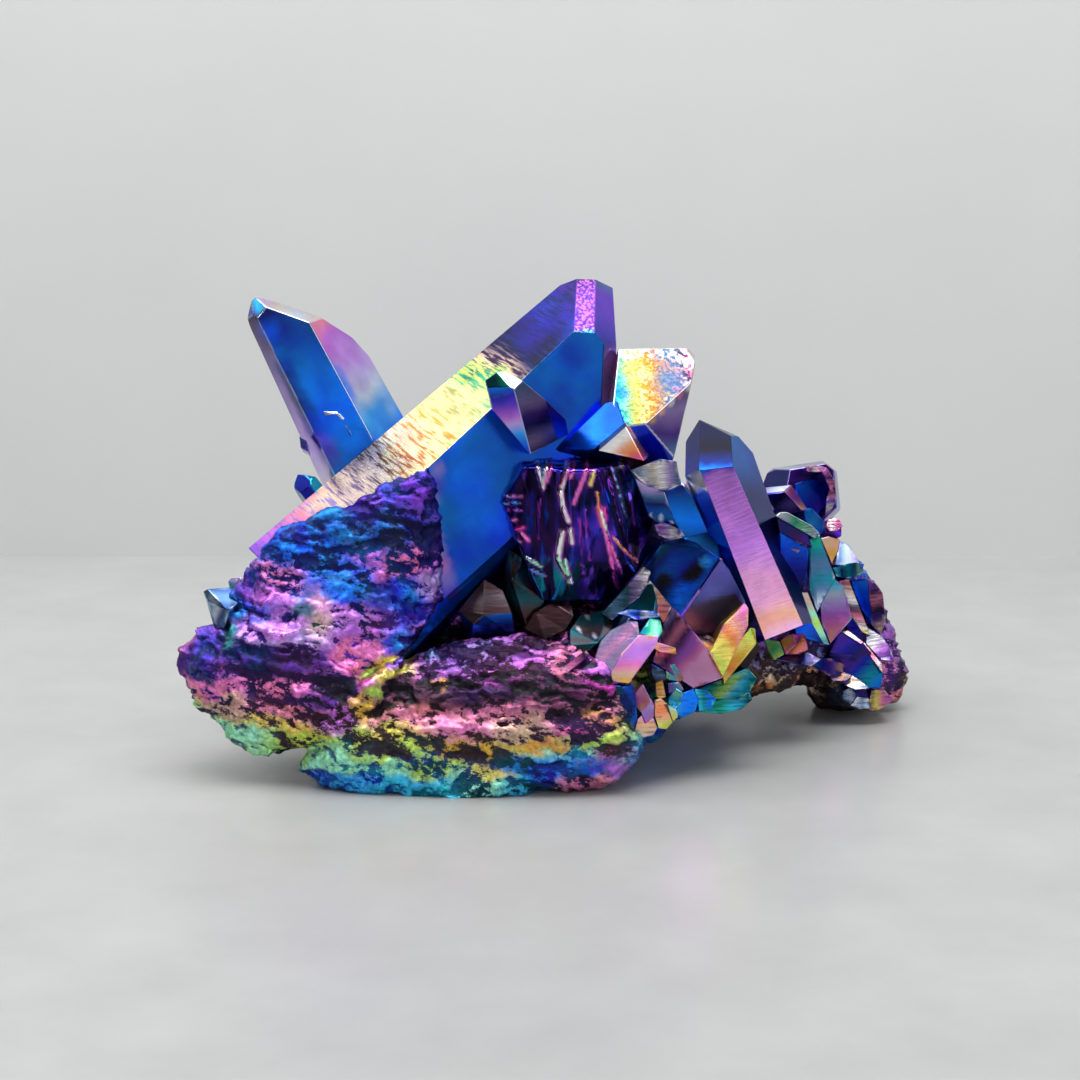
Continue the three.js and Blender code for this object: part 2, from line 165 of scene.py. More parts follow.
# Vacuum-coated quartz: a mirror-like metal oxide film on flat grown faces.
quartzLook = {
    "fadeShare": 0.07, "streakMm": (3.2, 3.2, 0.4), "streakDetail": 0.6, "driftMm": 7.0, "hueDrift": 0.012,
    "grainMm": 2.5, "valueDrift": 0.12, "roughness": (0.17, 0.36), "bump": 0.9, "bumpMm": 0.12,
    "metallic": 0.85, "coat": 0.05,
}
filmOnQuartz = coatedMaterial("metal film on polished quartz", quartzLook)
# The same film over broken vein rock: it glitters from many small grains.
rockLook = {
    "fadeShare": 0.035, "streakMm": (1.7, 1.7, 0.95), "streakDetail": 0.8, "driftMm": 3.5, "hueDrift": 0.03,
    "grainMm": 0.6, "valueDrift": 0.38, "roughness": (0.2, 0.46), "bump": 1.5, "bumpMm": 0.3,
    "metallic": 0.75, "coat": 0.06,
}
filmOnRock = coatedMaterial("metal film on vein rock", rockLook)
# Broken glassy quartz under the film: very smooth curved shells.
glassyLook = {
    "fadeShare": 0.07, "streakMm": (1.4, 1.4, 5.0), "streakDetail": 0.5, "driftMm": 4.0, "hueDrift": 0.02,
    "grainMm": 2.0, "valueDrift": 0.1, "roughness": (0.08, 0.2), "bump": 0.5, "bumpMm": 0.1,
    "metallic": 0.95, "coat": 0.05,
}
filmOnFracture = coatedMaterial("metal film on conchoidal fracture", glassyLook)
print("materials made")

shaping = {
    "stockMm": 300.0, "cutGap": 1e-5, "weldGap": 1e-3, "sliceGap": 1e-4,
    "lastSlice": 0.4,  # no slice nearer to the far end than this share of a step
    "sharpAngle": 0.12,  # in radians, between two faces whose edge is softened
    "flatCosine": 0.9998,  # a face that looks within this of a crystal face is flat shaded
}


def direction(heading, rise):
    h, r = math.radians(heading), math.radians(rise)
    return Vector((math.cos(h) * math.cos(r), math.sin(h) * math.cos(r), math.sin(r)))


def everything(bm):
    return bm.verts[:] + bm.edges[:] + bm.faces[:]


def cutToPlanes(centre, planes):
    # a block of stock cut by each face plane in turn
    bm = bmesh.new()
    bmesh.ops.create_cube(bm, size=shaping["stockMm"], matrix=Matrix.Translation(centre))
    for normal, offset in planes:
        cut = bmesh.ops.bisect_plane(bm, geom=everything(bm), plane_co=normal * offset, plane_no=normal,
                                     clear_outer=True, dist=shaping["cutGap"])
        rim = [e for e in cut["geom_cut"] if isinstance(e, bmesh.types.BMEdge) and e.is_boundary]
        if len(rim) > 2:
            bmesh.ops.contextual_create(bm, geom=rim)
    bmesh.ops.remove_doubles(bm, verts=bm.verts[:], dist=shaping["weldGap"])
    bmesh.ops.recalc_face_normals(bm, faces=bm.faces[:])
    return bm


def softenEdges(bm, width, segments=2):
    sharp = [e for e in bm.edges if e.is_manifold and e.calc_face_angle(0) > shaping["sharpAngle"]]
    bmesh.ops.bevel(bm, geom=sharp, offset=width, offset_type="OFFSET", affect="EDGES", segments=segments,
                    profile=0.5, material=-1, clamp_overlap=True)


def sliceEvenly(bm, normal, step):
    # cuts the surface into strips across one direction, so that colour and relief can vary along it
    reach = [v.co.dot(normal) for v in bm.verts]
    at = min(reach) + step
    while at < max(reach) - step * shaping["lastSlice"]:
        bmesh.ops.bisect_plane(bm, geom=everything(bm), plane_co=normal * at, plane_no=normal,
                               dist=shaping["sliceGap"])
        at += step


def finishPiece(name, bm, material):
    bmesh.ops.recalc_face_normals(bm, faces=bm.faces[:])
    bmesh.ops.translate(bm, verts=bm.verts[:], vec=-clusterCentre)
    bmesh.ops.scale(bm, verts=bm.verts[:], vec=(mm, mm, mm))
    mesh = bpy.data.meshes.new(name)
    bm.to_mesh(mesh)
    bm.free()
    mesh.materials.append(material)
    piece = bpy.data.objects.new(name, mesh)
    scene.collection.objects.link(piece)
    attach(piece, "root")
    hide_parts("quartz_cluster")
    return piece


def addTo(whole, bm):
    # moves the shape into the larger one
    mesh = bpy.data.meshes.new("share")
    bm.to_mesh(mesh)
    bm.free()
    whole.from_mesh(mesh)
    bpy.data.meshes.remove(mesh)


def addLayers(bm):
    layers = bm.verts.layers
    return (layers.float_color.new("coating"), layers.float_color.new("hollow"), layers.float_vector.new("growth"),
            layers.float.new("worn"))


def paintedGroup():
    whole = bmesh.new()
    addLayers(whole)
    return whole


# How the film wanders over a face: away from its even run, in brightness, and at the edges (a painted
# highlight); plainHollow darkens a plain hollow as painted shade.
filmPaint = {
    "onFaceMm": 0.03, "wander": 0.06, "wanderScale": 0.3, "tone": 0.22, "toneScale": 0.16, "toneShift": 3.1,
    "plainHollow": 0.5, "plainHollowShare": 0.12, "spotSharpness": 2, "edgeOwn": 0.3, "edgeHighlightMix": 0.7,
}


def grainFrame(axis):
    side = axis.orthogonal().normalized()
    return side, axis.cross(side), axis


def paintCrystal(bm, planes, paint, edgeHighlightColour, axis, spots=()):
    # gives each point of the surface the film colours of the flat face that it lies on
    coating, hollow, growth, worn = addLayers(bm)
    names = list(planes)
    normals = np.array([planes[n][0] for n in names])
    offsets = np.array([planes[n][1] for n in names])
    co = np.array([v.co[:] for v in bm.verts])
    gap = np.abs(co @ normals.T - offsets)
    nearest = gap.argmin(axis=1)
    onFace = gap.min(axis=1) < filmPaint["onFaceMm"]
    inFrame = co @ np.array(grainFrame(axis)).T
    for i, name in enumerate(names):
        mine = np.where(nearest == i)[0]
        if not len(mine):
            continue
        run, colours, *more = paint.get(name) or paint["rest"]
        extra = more[0] if more else {}
        crests = colourStops(colours)
        pits = colourStops(extra["hollow"]) if "hollow" in extra else None
        shown, shownAt = zip(*extra.get("worn", [(filmPaint["plainHollowShare"], 0)]))
        stretch = np.array(quartzLook["streakMm"]) / extra["grainMm"] if "grainMm" in extra else np.ones(3)
        along = co[mine] @ np.array(axis if run is alongAxis else Vector(run).normalized())
        low, high = along.min(), along.max()
        for k, a in zip(mine, along):
            place = Vector(co[k])
            share = (a - low) / max(tiny, high - low)
            share += filmPaint["wander"] * noise.noise(place * filmPaint["wanderScale"])
            cloud = place * filmPaint["toneScale"] + Vector((i * filmPaint["toneShift"], 0, 0))
            value = colourAt(crests, share) * (1 + filmPaint["tone"] * noise.noise(cloud))
            # with no hollow colours given, the hollow is the face colour darkened: painted shade in the low grain
            second = colourAt(pits, share) if pits else value * filmPaint["plainHollow"]
            for x, y, z, radius, tint, strength in spots:
                reach = 1 - (place - Vector((x, y, z))).length / radius
                if reach > 0:
                    mix = strength * min(1, reach * filmPaint["spotSharpness"])
                    value = value * (1 - mix) + film[tint] * mix
            # points on the bevels, off every flat face, take in the edge colour: mostly a pale painted highlight
            # along the edges, a dark line on the dark pieces
            if not onFace[k]:
                value = value * filmPaint["edgeOwn"] + film[edgeHighlightColour] * filmPaint["edgeHighlightMix"]
            vertex = bm.verts[k]
            vertex[coating] = (*value, 1.0)
            vertex[hollow] = (*second, 1.0)
            vertex[growth] = inFrame[k] * stretch
            vertex[worn] = np.interp(share, shownAt, shown) if onFace[k] else 0.0


def shadeFlat(bm, planes):
    for face in bm.faces:
        face.smooth = max(face.normal.dot(n) for n, _ in planes.values()) <= shaping["flatCosine"]


def largeCrystal(name, spec, material=filmOnQuartz):
    centre = Vector(spec["centre"])
    planes = {}
    for face, (heading, rise, distance) in spec["faces"].items():
        normal = direction(heading, rise)
        planes[face] = (normal, normal.dot(centre) + distance)
    bm = cutToPlanes(centre, planes.values())
    softenEdges(bm, spec["edge"])
    axis = direction(*spec["axis"])
    side, other, _ = grainFrame(axis)
    for way in (axis, side, other):
        sliceEvenly(bm, way, spec["step"])
    bm.verts.ensure_lookup_table()
    paintCrystal(bm, planes, spec["paint"], spec["edgeHighlightColour"], axis, spec.get("spots", ()))
    shadeFlat(bm, planes)
    return finishPiece(name, bm, material)


# Directions in which the film colours of a face run.
down, up, across, slant = (0, 0, -1), (0, 0, 1), (1, 0, 0), (1, 0, -1)
alongAxis = None  # along the crystal itself

# The large crystals. Each face is [heading, rise, distance from the centre in mm]. paint gives a face the
# direction in which its colours run, and the colours. A spot is x, y, z, radius, colour and strength.
# edgeHighlightColour is painted along the bevelled edges as a highlight line; on the broken block it is a dark ink
# line.
giantPoint = {
    "centre": [2, 25, 44], "axis": (18, 43), "step": 0.8, "edge": 0.25, "edgeHighlightColour": "sky",
    "spots": [(-13.1, 15, 39.5, 1.3, "mauve", 0.55), (-13.4, 14.8, 37.4, 1.3, "violet", 0.55),
        (-14, 14.5, 35.4, 1.4, "mauve", 0.5), (-14.3, 14.3, 33.3, 1.4, "purple", 0.5),
        (-13.8, 14.3, 31.3, 1.4, "mauve", 0.6), (-13.2, 14.3, 29.2, 1.5, "mauve", 0.65),
        (-12.6, 14.3, 27.1, 1.5, "rose", 0.5), (-12, 14.2, 25.2, 1.6, "mauve", 0.6),
        (-11.4, 14.2, 23.4, 1.6, "violet", 0.6), (2.6, 19.3, 48.1, 3, "ink", 0.6),
        (0.6, 18.6, 45.5, 3, "navy", 0.55), (4.5, 20.2, 54.5, 3, "ink", 0.5), (-9, 15.9, 38.1, 4, "azure", 0.5),
        (-7.8, 15.8, 32.8, 4, "azure", 0.5), (-9.1, 15.1, 28.3, 4, "lapis", 0.5),
        (-5.2, 17.2, 44.4, 3, "lapis", 0.5), (-16.4, 14, 35.7, 3, "ink", 0.5), (-17, 13.6, 31.9, 3, "navy", 0.4)],
    "faces": {
        "striated": [-134, 45, 10.3], "front": [-77, 4, 6], "tipStrip": [-74, 51, 13.2],
        "tipRight": [-33, 33.5, 12.4], "right": [-36, 1, 7.6], "farRight": [1.5, 0, 8], "top": [100, 55, 17.7],
        "upperBack": [124, 26, 11.3], "back": [105, -3, 9], "under": [-26, -38.5, 8.2],
        "lowerBevel": [-57, -19, 8.2], "foot": [-162, -43, 40],
    },
    "paint": {
        "striated": (alongAxis, [("violet", 0), ("orchid", 0.06), ("rose", 0.13), ("champagne", 0.2),
            ("beige", 0.34), ("straw", 0.44), ("straw", 0.5), ("straw", 0.6), ("lime", 0.67), ("champagne", 0.71),
            ("navy", 0.77), ("navy", 0.9), ("navy", 1)],
            {"hollow": [("indigo", 0), ("mauve", 0.12), ("mauve", 0.22), ("umber", 0.34), ("amber", 0.44),
                ("gold", 0.52), ("green", 0.64), ("plum", 0.7), ("midnight", 0.78), ("indigo", 0.88), ("purple", 1)],
             "worn": [(0.44, 0), (0.46, 0.2), (0.47, 0.4), (0.42, 0.55), (0.46, 0.66), (0.52, 0.72), (0.54, 0.85),
                (0.5, 1)]}),
        "front": ((0.7, 0, -0.7), [("azure", 0), ("lapis", 0.15), ("lapis", 0.3), ("lapis", 0.6), ("cobalt", 0.8),
            ("lapis", 1)]),
        "lowerBevel": (up, "sky azure lapis lapis"),
        "tipStrip": (up, [("cyan", 0), ("orchid", 0.06), ("orchid", 0.5), ("orchid", 1)],
            {"hollow": [("purple", 0), ("violet", 0.5), ("plum", 1)], "worn": [(0.5, 0), (0.52, 1)],
             "grainMm": 0.4}),
        "tipRight": ((0.3, 0, 1), [("indigo", 0), ("violet", 0.5), ("violet", 0.8), ("slate", 1)]),
        "right": (up, [("azure", 0), ("lapis", 0.3), ("mauve", 0.5), ("mauve", 0.85), ("violet", 1)],
            {"hollow": "slate", "worn": [(0.4, 0)]}),
        "rest": (alongAxis, "violet ink cobalt teal violet"),
    },
}
leftPoint = {
    "centre": [-31, 27, 47], "axis": (170, 62), "step": 0.8, "edge": 0.22, "edgeHighlightColour": "mist",
    # The azure spots near x -26, z 48 to 51 paint a highlight on the front face.
    "spots": [(-34.2, 26.2, 51.6, 2, "ink", 0.8), (-33.6, 26, 49.8, 2, "navy", 0.75),
        (-32.7, 25.8, 47.8, 2.2, "navy", 0.75), (-31.6, 25.7, 45.8, 2.2, "navy", 0.75),
        (-30.7, 25.5, 43.7, 2.4, "ink", 0.8), (-29.1, 25.4, 41.3, 2.2, "violet", 0.6),
        (-28.3, 25.2, 39.7, 2.2, "purple", 0.6), (-26.1, 27, 48.3, 2.4, "azure", 0.8),
        (-26.7, 27.2, 50.6, 2.2, "azure", 0.6), (-27.4, 26.1, 44, 2.6, "azure", 0.5),
        (-36.2, 26.7, 56.6, 2, "azure", 0.5), (-25.2, 26.1, 42, 2, "azure", 0.6),
        (-36.9, 26.8, 58.2, 1.4, "navy", 0.6)],
    "faces": {
        "front": [-81, 9, 1], "tipFront": [-117, 35, 9.1], "right": [-27.5, 27, 4.7], "tipRight": [-38, 63, 9.3],
        "farRight": [35, 24, 13.5], "tipFarRight": [56, 61.5, 11.6], "back": [93, -4, 8.2],
        "tipBack": [108, 29, 11.6], "farLeft": [149, -21, 4], "tipFarLeft": [111, 8, 6.4], "left": [-144, -19, 1.6],
        "tipLeft": [-153, 11, 8.4], "foot": [-10, -62, 33],
    },
    "paint": {
        "front": ((0.45, 0, -0.9), [("navy", 0), ("lapis", 0.15), ("azure", 0.35), ("lapis", 0.5), ("lapis", 0.75),
            ("ink", 1)]),
        "tipFront": ((1, 0, 0.6), "navy teal navy"),
        "right": ((0.2, 0, -1), [("rose", 0), ("orchid", 0.08), ("lilac", 0.17), ("mist", 0.27), ("sky", 0.36),
            ("azure", 0.46), ("violet", 0.58), ("violet", 1)]),
        "tipRight": (across, "lilac beige mist champagne"),
        "left": (up, "pearl lilac pearl lilac mauve plum"),
        "rest": (alongAxis, "violet cobalt teal rose"),
    },
}
stripedPoint = {
    "centre": [26, 34, 33], "axis": (143, 63), "step": 0.9, "edge": 0.2, "edgeHighlightColour": "mist",
    "faces": {
        "front": [-92, 17, 5.3], "tipFront": [-98, 50, 6.3], "right": [-28, 28.5, 4.2], "tipRight": [-13, 68, 8],
        "farRight": [31, 1, 5.2], "tipFarRight": [57, 42, 7.6], "back": [92, -15, 4.5], "tipBack": [105, 18, 7.3],
        "farLeft": [155, -23, 3.4], "tipFarLeft": [152, 11, 8], "left": [-146, -8, 5.1], "tipLeft": [-161, 26, 6.8],
        "foot": [-37, -63, 20.4],
    },
    "paint": {
        "front": ((0.3, 0, -1), [("azure", 0), ("violet", 0.02), ("heather", 0.05), ("heather", 0.5),
            ("blush", 0.68), ("blush", 0.78), ("peach", 0.92), ("blush", 1)]),
        "tipFront": (up, [("azure", 0), ("navy", 0.12), ("black", 0.4), ("midnight", 1)]),
        "tipLeft": (up, "ink navy navy"),
        "right": (down, [("lapis", 0), ("lapis", 0.15), ("navy", 0.35), ("dusk", 0.6), ("navy", 0.8), ("dusk", 1)]),
        "tipRight": ((1, 0, -0.6), "midnight navy teal"),
        "left": (down, "mist slate lapis azure navy navy"),
        "rest": (alongAxis, "azure ink violet teal"),
    },
}
goldPoint = {
    "centre": [15, 24, 45], "axis": (-30, 55), "step": 0.5, "edge": 0.22, "edgeHighlightColour": "pearl",
    # The white, pearl, rose, peach and gold spots along the upper and right edges of the tip paint a highlight line.
    "spots": [(11.5, 22.5, 53.8, 1.3, "white", 0.9), (12.7, 23.1, 53.9, 1.3, "pearl", 0.9),
        (14, 23.6, 53.8, 1.2, "white", 0.9), (15.2, 24, 53.8, 1.2, "pearl", 0.9),
        (16.4, 24.4, 53.6, 1.2, "white", 0.9), (17.6, 24.8, 53.6, 1.3, "white", 0.9),
        (18.7, 25, 53.2, 1.4, "white", 0.9), (19.6, 24.6, 52.3, 1.4, "pearl", 0.9),
        (19.8, 23.7, 51, 1.3, "rose", 0.8), (19.5, 22.7, 49.8, 1.3, "pearl", 0.9),
        (18.3, 21.4, 48.8, 1, "rose", 0.8), (17.1, 20.1, 47.8, 1, "pearl", 0.8),
        (15.9, 18.8, 46.8, 1, "peach", 0.8), (14.6, 17.6, 45.9, 1, "gold", 0.8),
        (16.8, 22.6, 51.1, 2.4, "slate", 0.6), (15.7, 21, 49.7, 2.2, "slate", 0.5),
        (17.9, 22.2, 50.1, 2, "mauve", 0.6), (14.7, 22.8, 52.4, 1.6, "gold", 0.5),
        (16.6, 23.6, 52.5, 1.5, "orange", 0.6), (13.1, 22.5, 52.9, 1.5, "amber", 0.5),
        (10.6, 18.6, 49.2, 1.4, "azure", 0.7), (10.5, 19.9, 50.9, 1.2, "cyan", 0.6)],
    "faces": {
        "tip": [-68, 36, 5.2], "lowerLeft": [-137, -7, 8.5], "under": [-103, -48, 5.9],
        "lowerRight": [-63, -33, 4.8], "right": [-41, -8, 3.7], "farRight": [-1, -13, 3.8],
        "corner": [-10, 35, 8.7], "top": [110, 60, 8.4], "back": [90, 0, 6], "left": [-176, 11, 6.5],
    },
    "paint": {
        "tip": ((1, 0, 0.1), [("azure", 0), ("cyan", 0.06), ("lime", 0.2), ("straw", 0.38), ("gold", 0.56),
            ("champagne", 0.72), ("rose", 0.88), ("pearl", 1)],
            {"hollow": [("cobalt", 0), ("green", 0.12), ("gold", 0.3), ("amber", 0.5), ("slate", 0.62),
                ("slate", 0.8), ("plum", 0.9), ("magenta", 1)],
             "worn": [(0.46, 0), (0.5, 0.5), (0.5, 0.9), (0.4, 1)], "grainMm": 0.6}),
        "lowerLeft": ((0.7, 0, 0.7), "cobalt azure sky"),
        "under": ((1, 0, 0.5), [("cyan", 0), ("white", 0.2), ("peach", 0.5), ("orange", 0.75), ("hotPink", 1)],
            {"hollow": "amber", "worn": [(0.45, 0)]}),
        "lowerRight": (down, "cobalt ink"),
        "right": (down, "plum mauve purple slate"),
        "rest": (alongAxis, "peach pearl rose"),
    },
}
frontTwin = {
    "centre": [-2, 14, 44], "axis": (150, 72), "step": 0.7, "edge": 0.15, "edgeHighlightColour": "mist",
    "faces": {
        "tipLeft": [-120, 22, 6.8], "tipRight": [-72.5, 51.5, 7.5], "left": [-117, -16, 2.6],
        "right": [-39, 4, 2.3], "farLeft": [-175, -14, 3.2], "tipFarRight": [23, 55, 5.3],
        "farRight": [-22, 10, 3.2], "back": [90, 6, 9], "tipBack": [108, 35, 3.8], "footLeft": [-173.5, -39.4, 1],
        "footRight": [-14, -61.7, 2.4],
    },
    "paint": {
        "tipLeft": ((1, 0, 0.5), "pine pine green"),
        # tipRight: the white middle of this small facet is a painted highlight on its mint film.
        "tipRight": (across, "mint white mint"),
        "left": ((0.2, 0, -1), [("azure", 0), ("indigo", 0.12), ("violet", 0.25), ("orchid", 0.45), ("lilac", 0.58),
            ("sky", 0.72), ("azure", 0.9), ("cobalt", 1)]),
        "right": ((0.3, 0, -1), [("slate", 0), ("mauve", 0.3), ("purple", 0.5), ("navy", 0.68), ("mauve", 0.85),
            ("navy", 1)]),
        "rest": (down, "purple indigo azure"),
    },
}
bluntPoint = {
    "centre": [38, 51, 30], "axis": (20, 80), "step": 0.9, "edge": 0.2, "edgeHighlightColour": "lilac",
    "faces": {
        "left": [-156, 18, 3.7], "front": [-83, 18, 3.3], "right": [-12, 7, 5.7], "top": [161, 81, 4.9],
        "topLeft": [180, 52, 5.5], "topRight": [0, 52, 6.7], "lowerRight": [-23, -40, 5.1], "back": [90, 0, 3.1],
        "foot": [-120, -80, 12],
    },
    "paint": {
        "front": ((1, 0, -0.4), "purple plum navy purple"),
        "left": (down, "navy purple"),
        "top": (across, "mist slate mauve"),
        "topLeft": (across, "mist slate"),
        "topRight": (across, "hotPink magenta"),
        "rest": (down, "purple indigo azure"),
    },
}
indigoPrism = {
    "centre": [24, 30, 18.5], "axis": (50, 45), "step": 0.8, "edge": 0.15, "edgeHighlightColour": "violet",
    "faces": {
        "front": [-121, 21, 2.3], "under": [-30, -29, 4.2], "right": [8, 24, 3.5], "top": [117, 77, 6.6],
        "end": [167, -45, 3.8], "left": [174, 6, 4.1], "back": [72, 0, 5],
    },
    "paint": {
        "front": ((0.6, 0, -0.7), "cobalt indigo purple indigo"),
        "under": (down, "pink peach orange yellow lime"),
        "rest": (down, "azure indigo violet"),
    },
}
for name, spec in (("giant_point", giantPoint), ("left_point", leftPoint), ("striped_point", stripedPoint),
                   ("gold_point", goldPoint), ("front_twin", frontTwin), ("blunt_point", bluntPoint),
                   ("indigo_prism", indigoPrism)):
    largeCrystal(name, spec)
print("large crystals made")

# The broken block in the middle, with a glassy front.
fracturedBlock = {
    "centre": [6, 20, 32], "axis": (0, 90), "step": 0.24, "edge": 0.25, "edgeHighlightColour": "ink",
    "faces": {
        "left": [-114, 0, 8.2], "middle": [-78, 2, 7.5], "right": [-40, 13, 7.2], "lower": [-79, -17, 8.5],
        "top": [-87, 85, 8.4], "upperLeft": [-169, 31, 11.6], "lowerLeft": [-163, -19, 10],
        "upperRight": [6, 23, 7.9], "lowerRight": [10, -31, 7.4], "under": [-116, -88, 9.7], "back": [90, 0, 8],
    },
    "paint": {
        "left": (down, "violet navy ink navy indigo teal teal",
            {"hollow": "midnight plum midnight", "worn": [(0.54, 0)]}),
        "middle": ((0.2, 0, -1), "violet purple navy indigo violet purple ink",
            {"hollow": "plum midnight purple midnight", "worn": [(0.53, 0)]}),
        "right": ((0.5, 0, -1), "violet navy lapis navy violet navy",
            {"hollow": "midnight plum midnight", "worn": [(0.53, 0)]}),
        "lower": (across, "teal navy violet violet ink", {"hollow": "pine midnight plum", "worn": [(0.54, 0)]}),
        "rest": (down, "violet navy ink"),
    },
}
# Sharp drips of the fracture, from above down, each a raised ridge painted along its crest, mostly as a bright
# highlight: start and end (x, z), half width in mm, colour.
dripHighlights = [
    ((-0.7, 41.7), (0.4, 37.4), 0.26, "white"), ((1.2, 42.1), (0.4, 37.5), 0.24, "pearl"),
    ((2, 42), (0.9, 38.3), 0.2, "pink"), ((0.1, 41.1), (0.6, 38.8), 0.16, "cyan"),
    ((3.9, 42.1), (2.7, 36.9), 0.24, "white"), ((2.7, 36.9), (3.1, 34.8), 0.26, "white"),
    ((3.1, 34.8), (3.7, 33.3), 0.26, "pearl"), ((5.3, 41.9), (3.8, 38.8), 0.14, "rose"),
    ((4.6, 41.6), (2.6, 37.8), 0.14, "pink"), ((6.4, 40.9), (4.3, 35.6), 0.22, "pink"),
    ((6.8, 39.4), (6.4, 38), 0.26, "yellow"), ((7.4, 41.5), (7.5, 40.9), 0.3, "white"),
    ((10.1, 41), (10.5, 39.8), 0.3, "white"), ((7.3, 36.9), (7.5, 35.2), 0.14, "gold"),
    ((7.5, 34.9), (8.1, 32.6), 0.3, "orange"), ((7.8, 34.4), (8.6, 31.3), 0.2, "white"),
    ((8.2, 34.8), (8.4, 33.4), 0.2, "hotPink"), ((8.7, 31), (10, 24.2), 0.2, "hotPink"),
    ((8.2, 32.1), (9.4, 26.8), 0.14, "pink"), ((9.4, 31), (10.9, 29.2), 0.14, "gold"),
    ((10.9, 29.2), (12.6, 27.5), 0.14, "orange"), ((9.1, 30.1), (10.5, 26.2), 0.12, "rose"),
    ((2.9, 31.8), (2.3, 28.4), 0.34, "white"), ((2.3, 28.4), (3.5, 26.3), 0.34, "mint"),
    ((3.9, 32.2), (4.1, 30.5), 0.26, "pearl"), ((3.2, 28.2), (3.9, 25.1), 0.22, "mint"),
    ((-4.9, 36), (-2.3, 36.1), 0.12, "lilac"), ((-4.9, 35), (-2.6, 35.3), 0.12, "sky"),
    ((-4.6, 34.1), (-2.4, 34.3), 0.1, "orchid"), ((-4, 32.8), (-3.1, 33.1), 0.22, "pink"),
    ((-3.2, 31.7), (-2.1, 32.1), 0.24, "hotPink"), ((-3.7, 30.6), (-2.6, 30.1), 0.2, "lilac"),
    ((-2.4, 31.3), (-1.5, 30.4), 0.2, "pink"), ((-1.9, 28.2), (0.1, 27.1), 0.16, "mint"),
    ((-1.3, 26.6), (0.6, 25.9), 0.12, "sky"), ((11.5, 36.3), (12.4, 32.1), 0.16, "violet"),
    ((9.2, 39.8), (11.1, 33.4), 0.14, "teal"), ((8.7, 38.5), (10.4, 32.7), 0.12, "ink"),
    ((0, 36), (-0.3, 30.8), 0.12, "purple"), ((5.8, 34.7), (6.4, 28.2), 0.12, "violet"),
    ((5.1, 33.4), (5.5, 26.2), 0.12, "purple"),
]
fractureWave = {
    "foldMm": 3.6, "foldDepth": 0.4, "foldLevel": 0.6, "foldRow": 2.0, "foldStretch": 0.05,
    "lean": 0.28, "leanHeight": 32,  # the folds run down and a little to the left
    "rippleMm": 1.3, "rippleDepth": 0.16, "rippleStretch": 3, "frontUpTo": 0.2,
    "dripHeight": 0.2, "dripSpread": 1.6, "dripReach": 2.4, "crestGain": 1.6, "crestFall": 5, "paintedGlowGain": 0.75,
    "paintedGlow": "magenta", "paintedGlowDeep": 0.3, "dripStart": 0.2, "dripArc": 3.14,
}


def brokenBlock(name, spec):
    piece = largeCrystal(name, spec, filmOnFracture)
    mesh = piece.data
    colours, pits = mesh.attributes["coating"].data, mesh.attributes["hollow"].data
    wave = fractureWave
    fold, ripple = wave["foldMm"], wave["rippleMm"]
    for polygon in mesh.polygons:
        polygon.use_smooth = True
    places = [v.co / mm + clusterCentre for v in mesh.vertices]
    normals = [v.normal.copy() for v in mesh.vertices]
    for i, (p, n) in enumerate(zip(places, normals)):
        if n.y > wave["frontUpTo"]:
            continue
        lean = p.x + wave["lean"] * (p.z - wave["leanHeight"])
        crease = 1 - 2 * abs(noise.noise(Vector((lean / fold, wave["foldRow"], p.z * wave["foldStretch"]))))
        swell = noise.noise(Vector((p.x / ripple, p.y / ripple, p.z / (wave["rippleStretch"] * ripple))))
        out = wave["foldDepth"] * (crease - wave["foldLevel"]) + wave["rippleDepth"] * swell
        # each drip lifts a ridge and paints its colour on the crest, a painted highlight, inside a painted magenta
        # glow
        for (x0, z0), (x1, z1), width, tint in dripHighlights:
            along = Vector((x1 - x0, z1 - z0))
            t = max(0.0, min(1.0, Vector((p.x - x0, p.z - z0)).dot(along) / along.length_squared))
            away = (Vector((p.x, p.z)) - Vector((x0, z0)) - along * t).length / (width * wave["dripSpread"])
            if away < wave["dripReach"]:
                crest = min(1.0, wave["crestGain"] * math.exp(-wave["crestFall"] * away * away))
                paintedGlow = wave["paintedGlowGain"] * math.exp(-away * away)
                arc = 0.5 + 0.5 * math.sin(wave["dripArc"] * min(1, t + wave["dripStart"]))
                out += wave["dripHeight"] * crest * arc
                mixed = np.array(colours[i].color[:3]) * (1 - paintedGlow) + film[wave["paintedGlow"]] * paintedGlow
                mixed = mixed * (1 - crest) + film[tint] * crest
                colours[i].color = (*mixed, 1.0)
                if paintedGlow > wave["paintedGlowDeep"]:
                    pits[i].color = (*mixed, 1.0)
        mesh.vertices[i].co += n * mm * out
    return piece


brokenBlock("fractured_block", fracturedBlock)
print("broken block made")

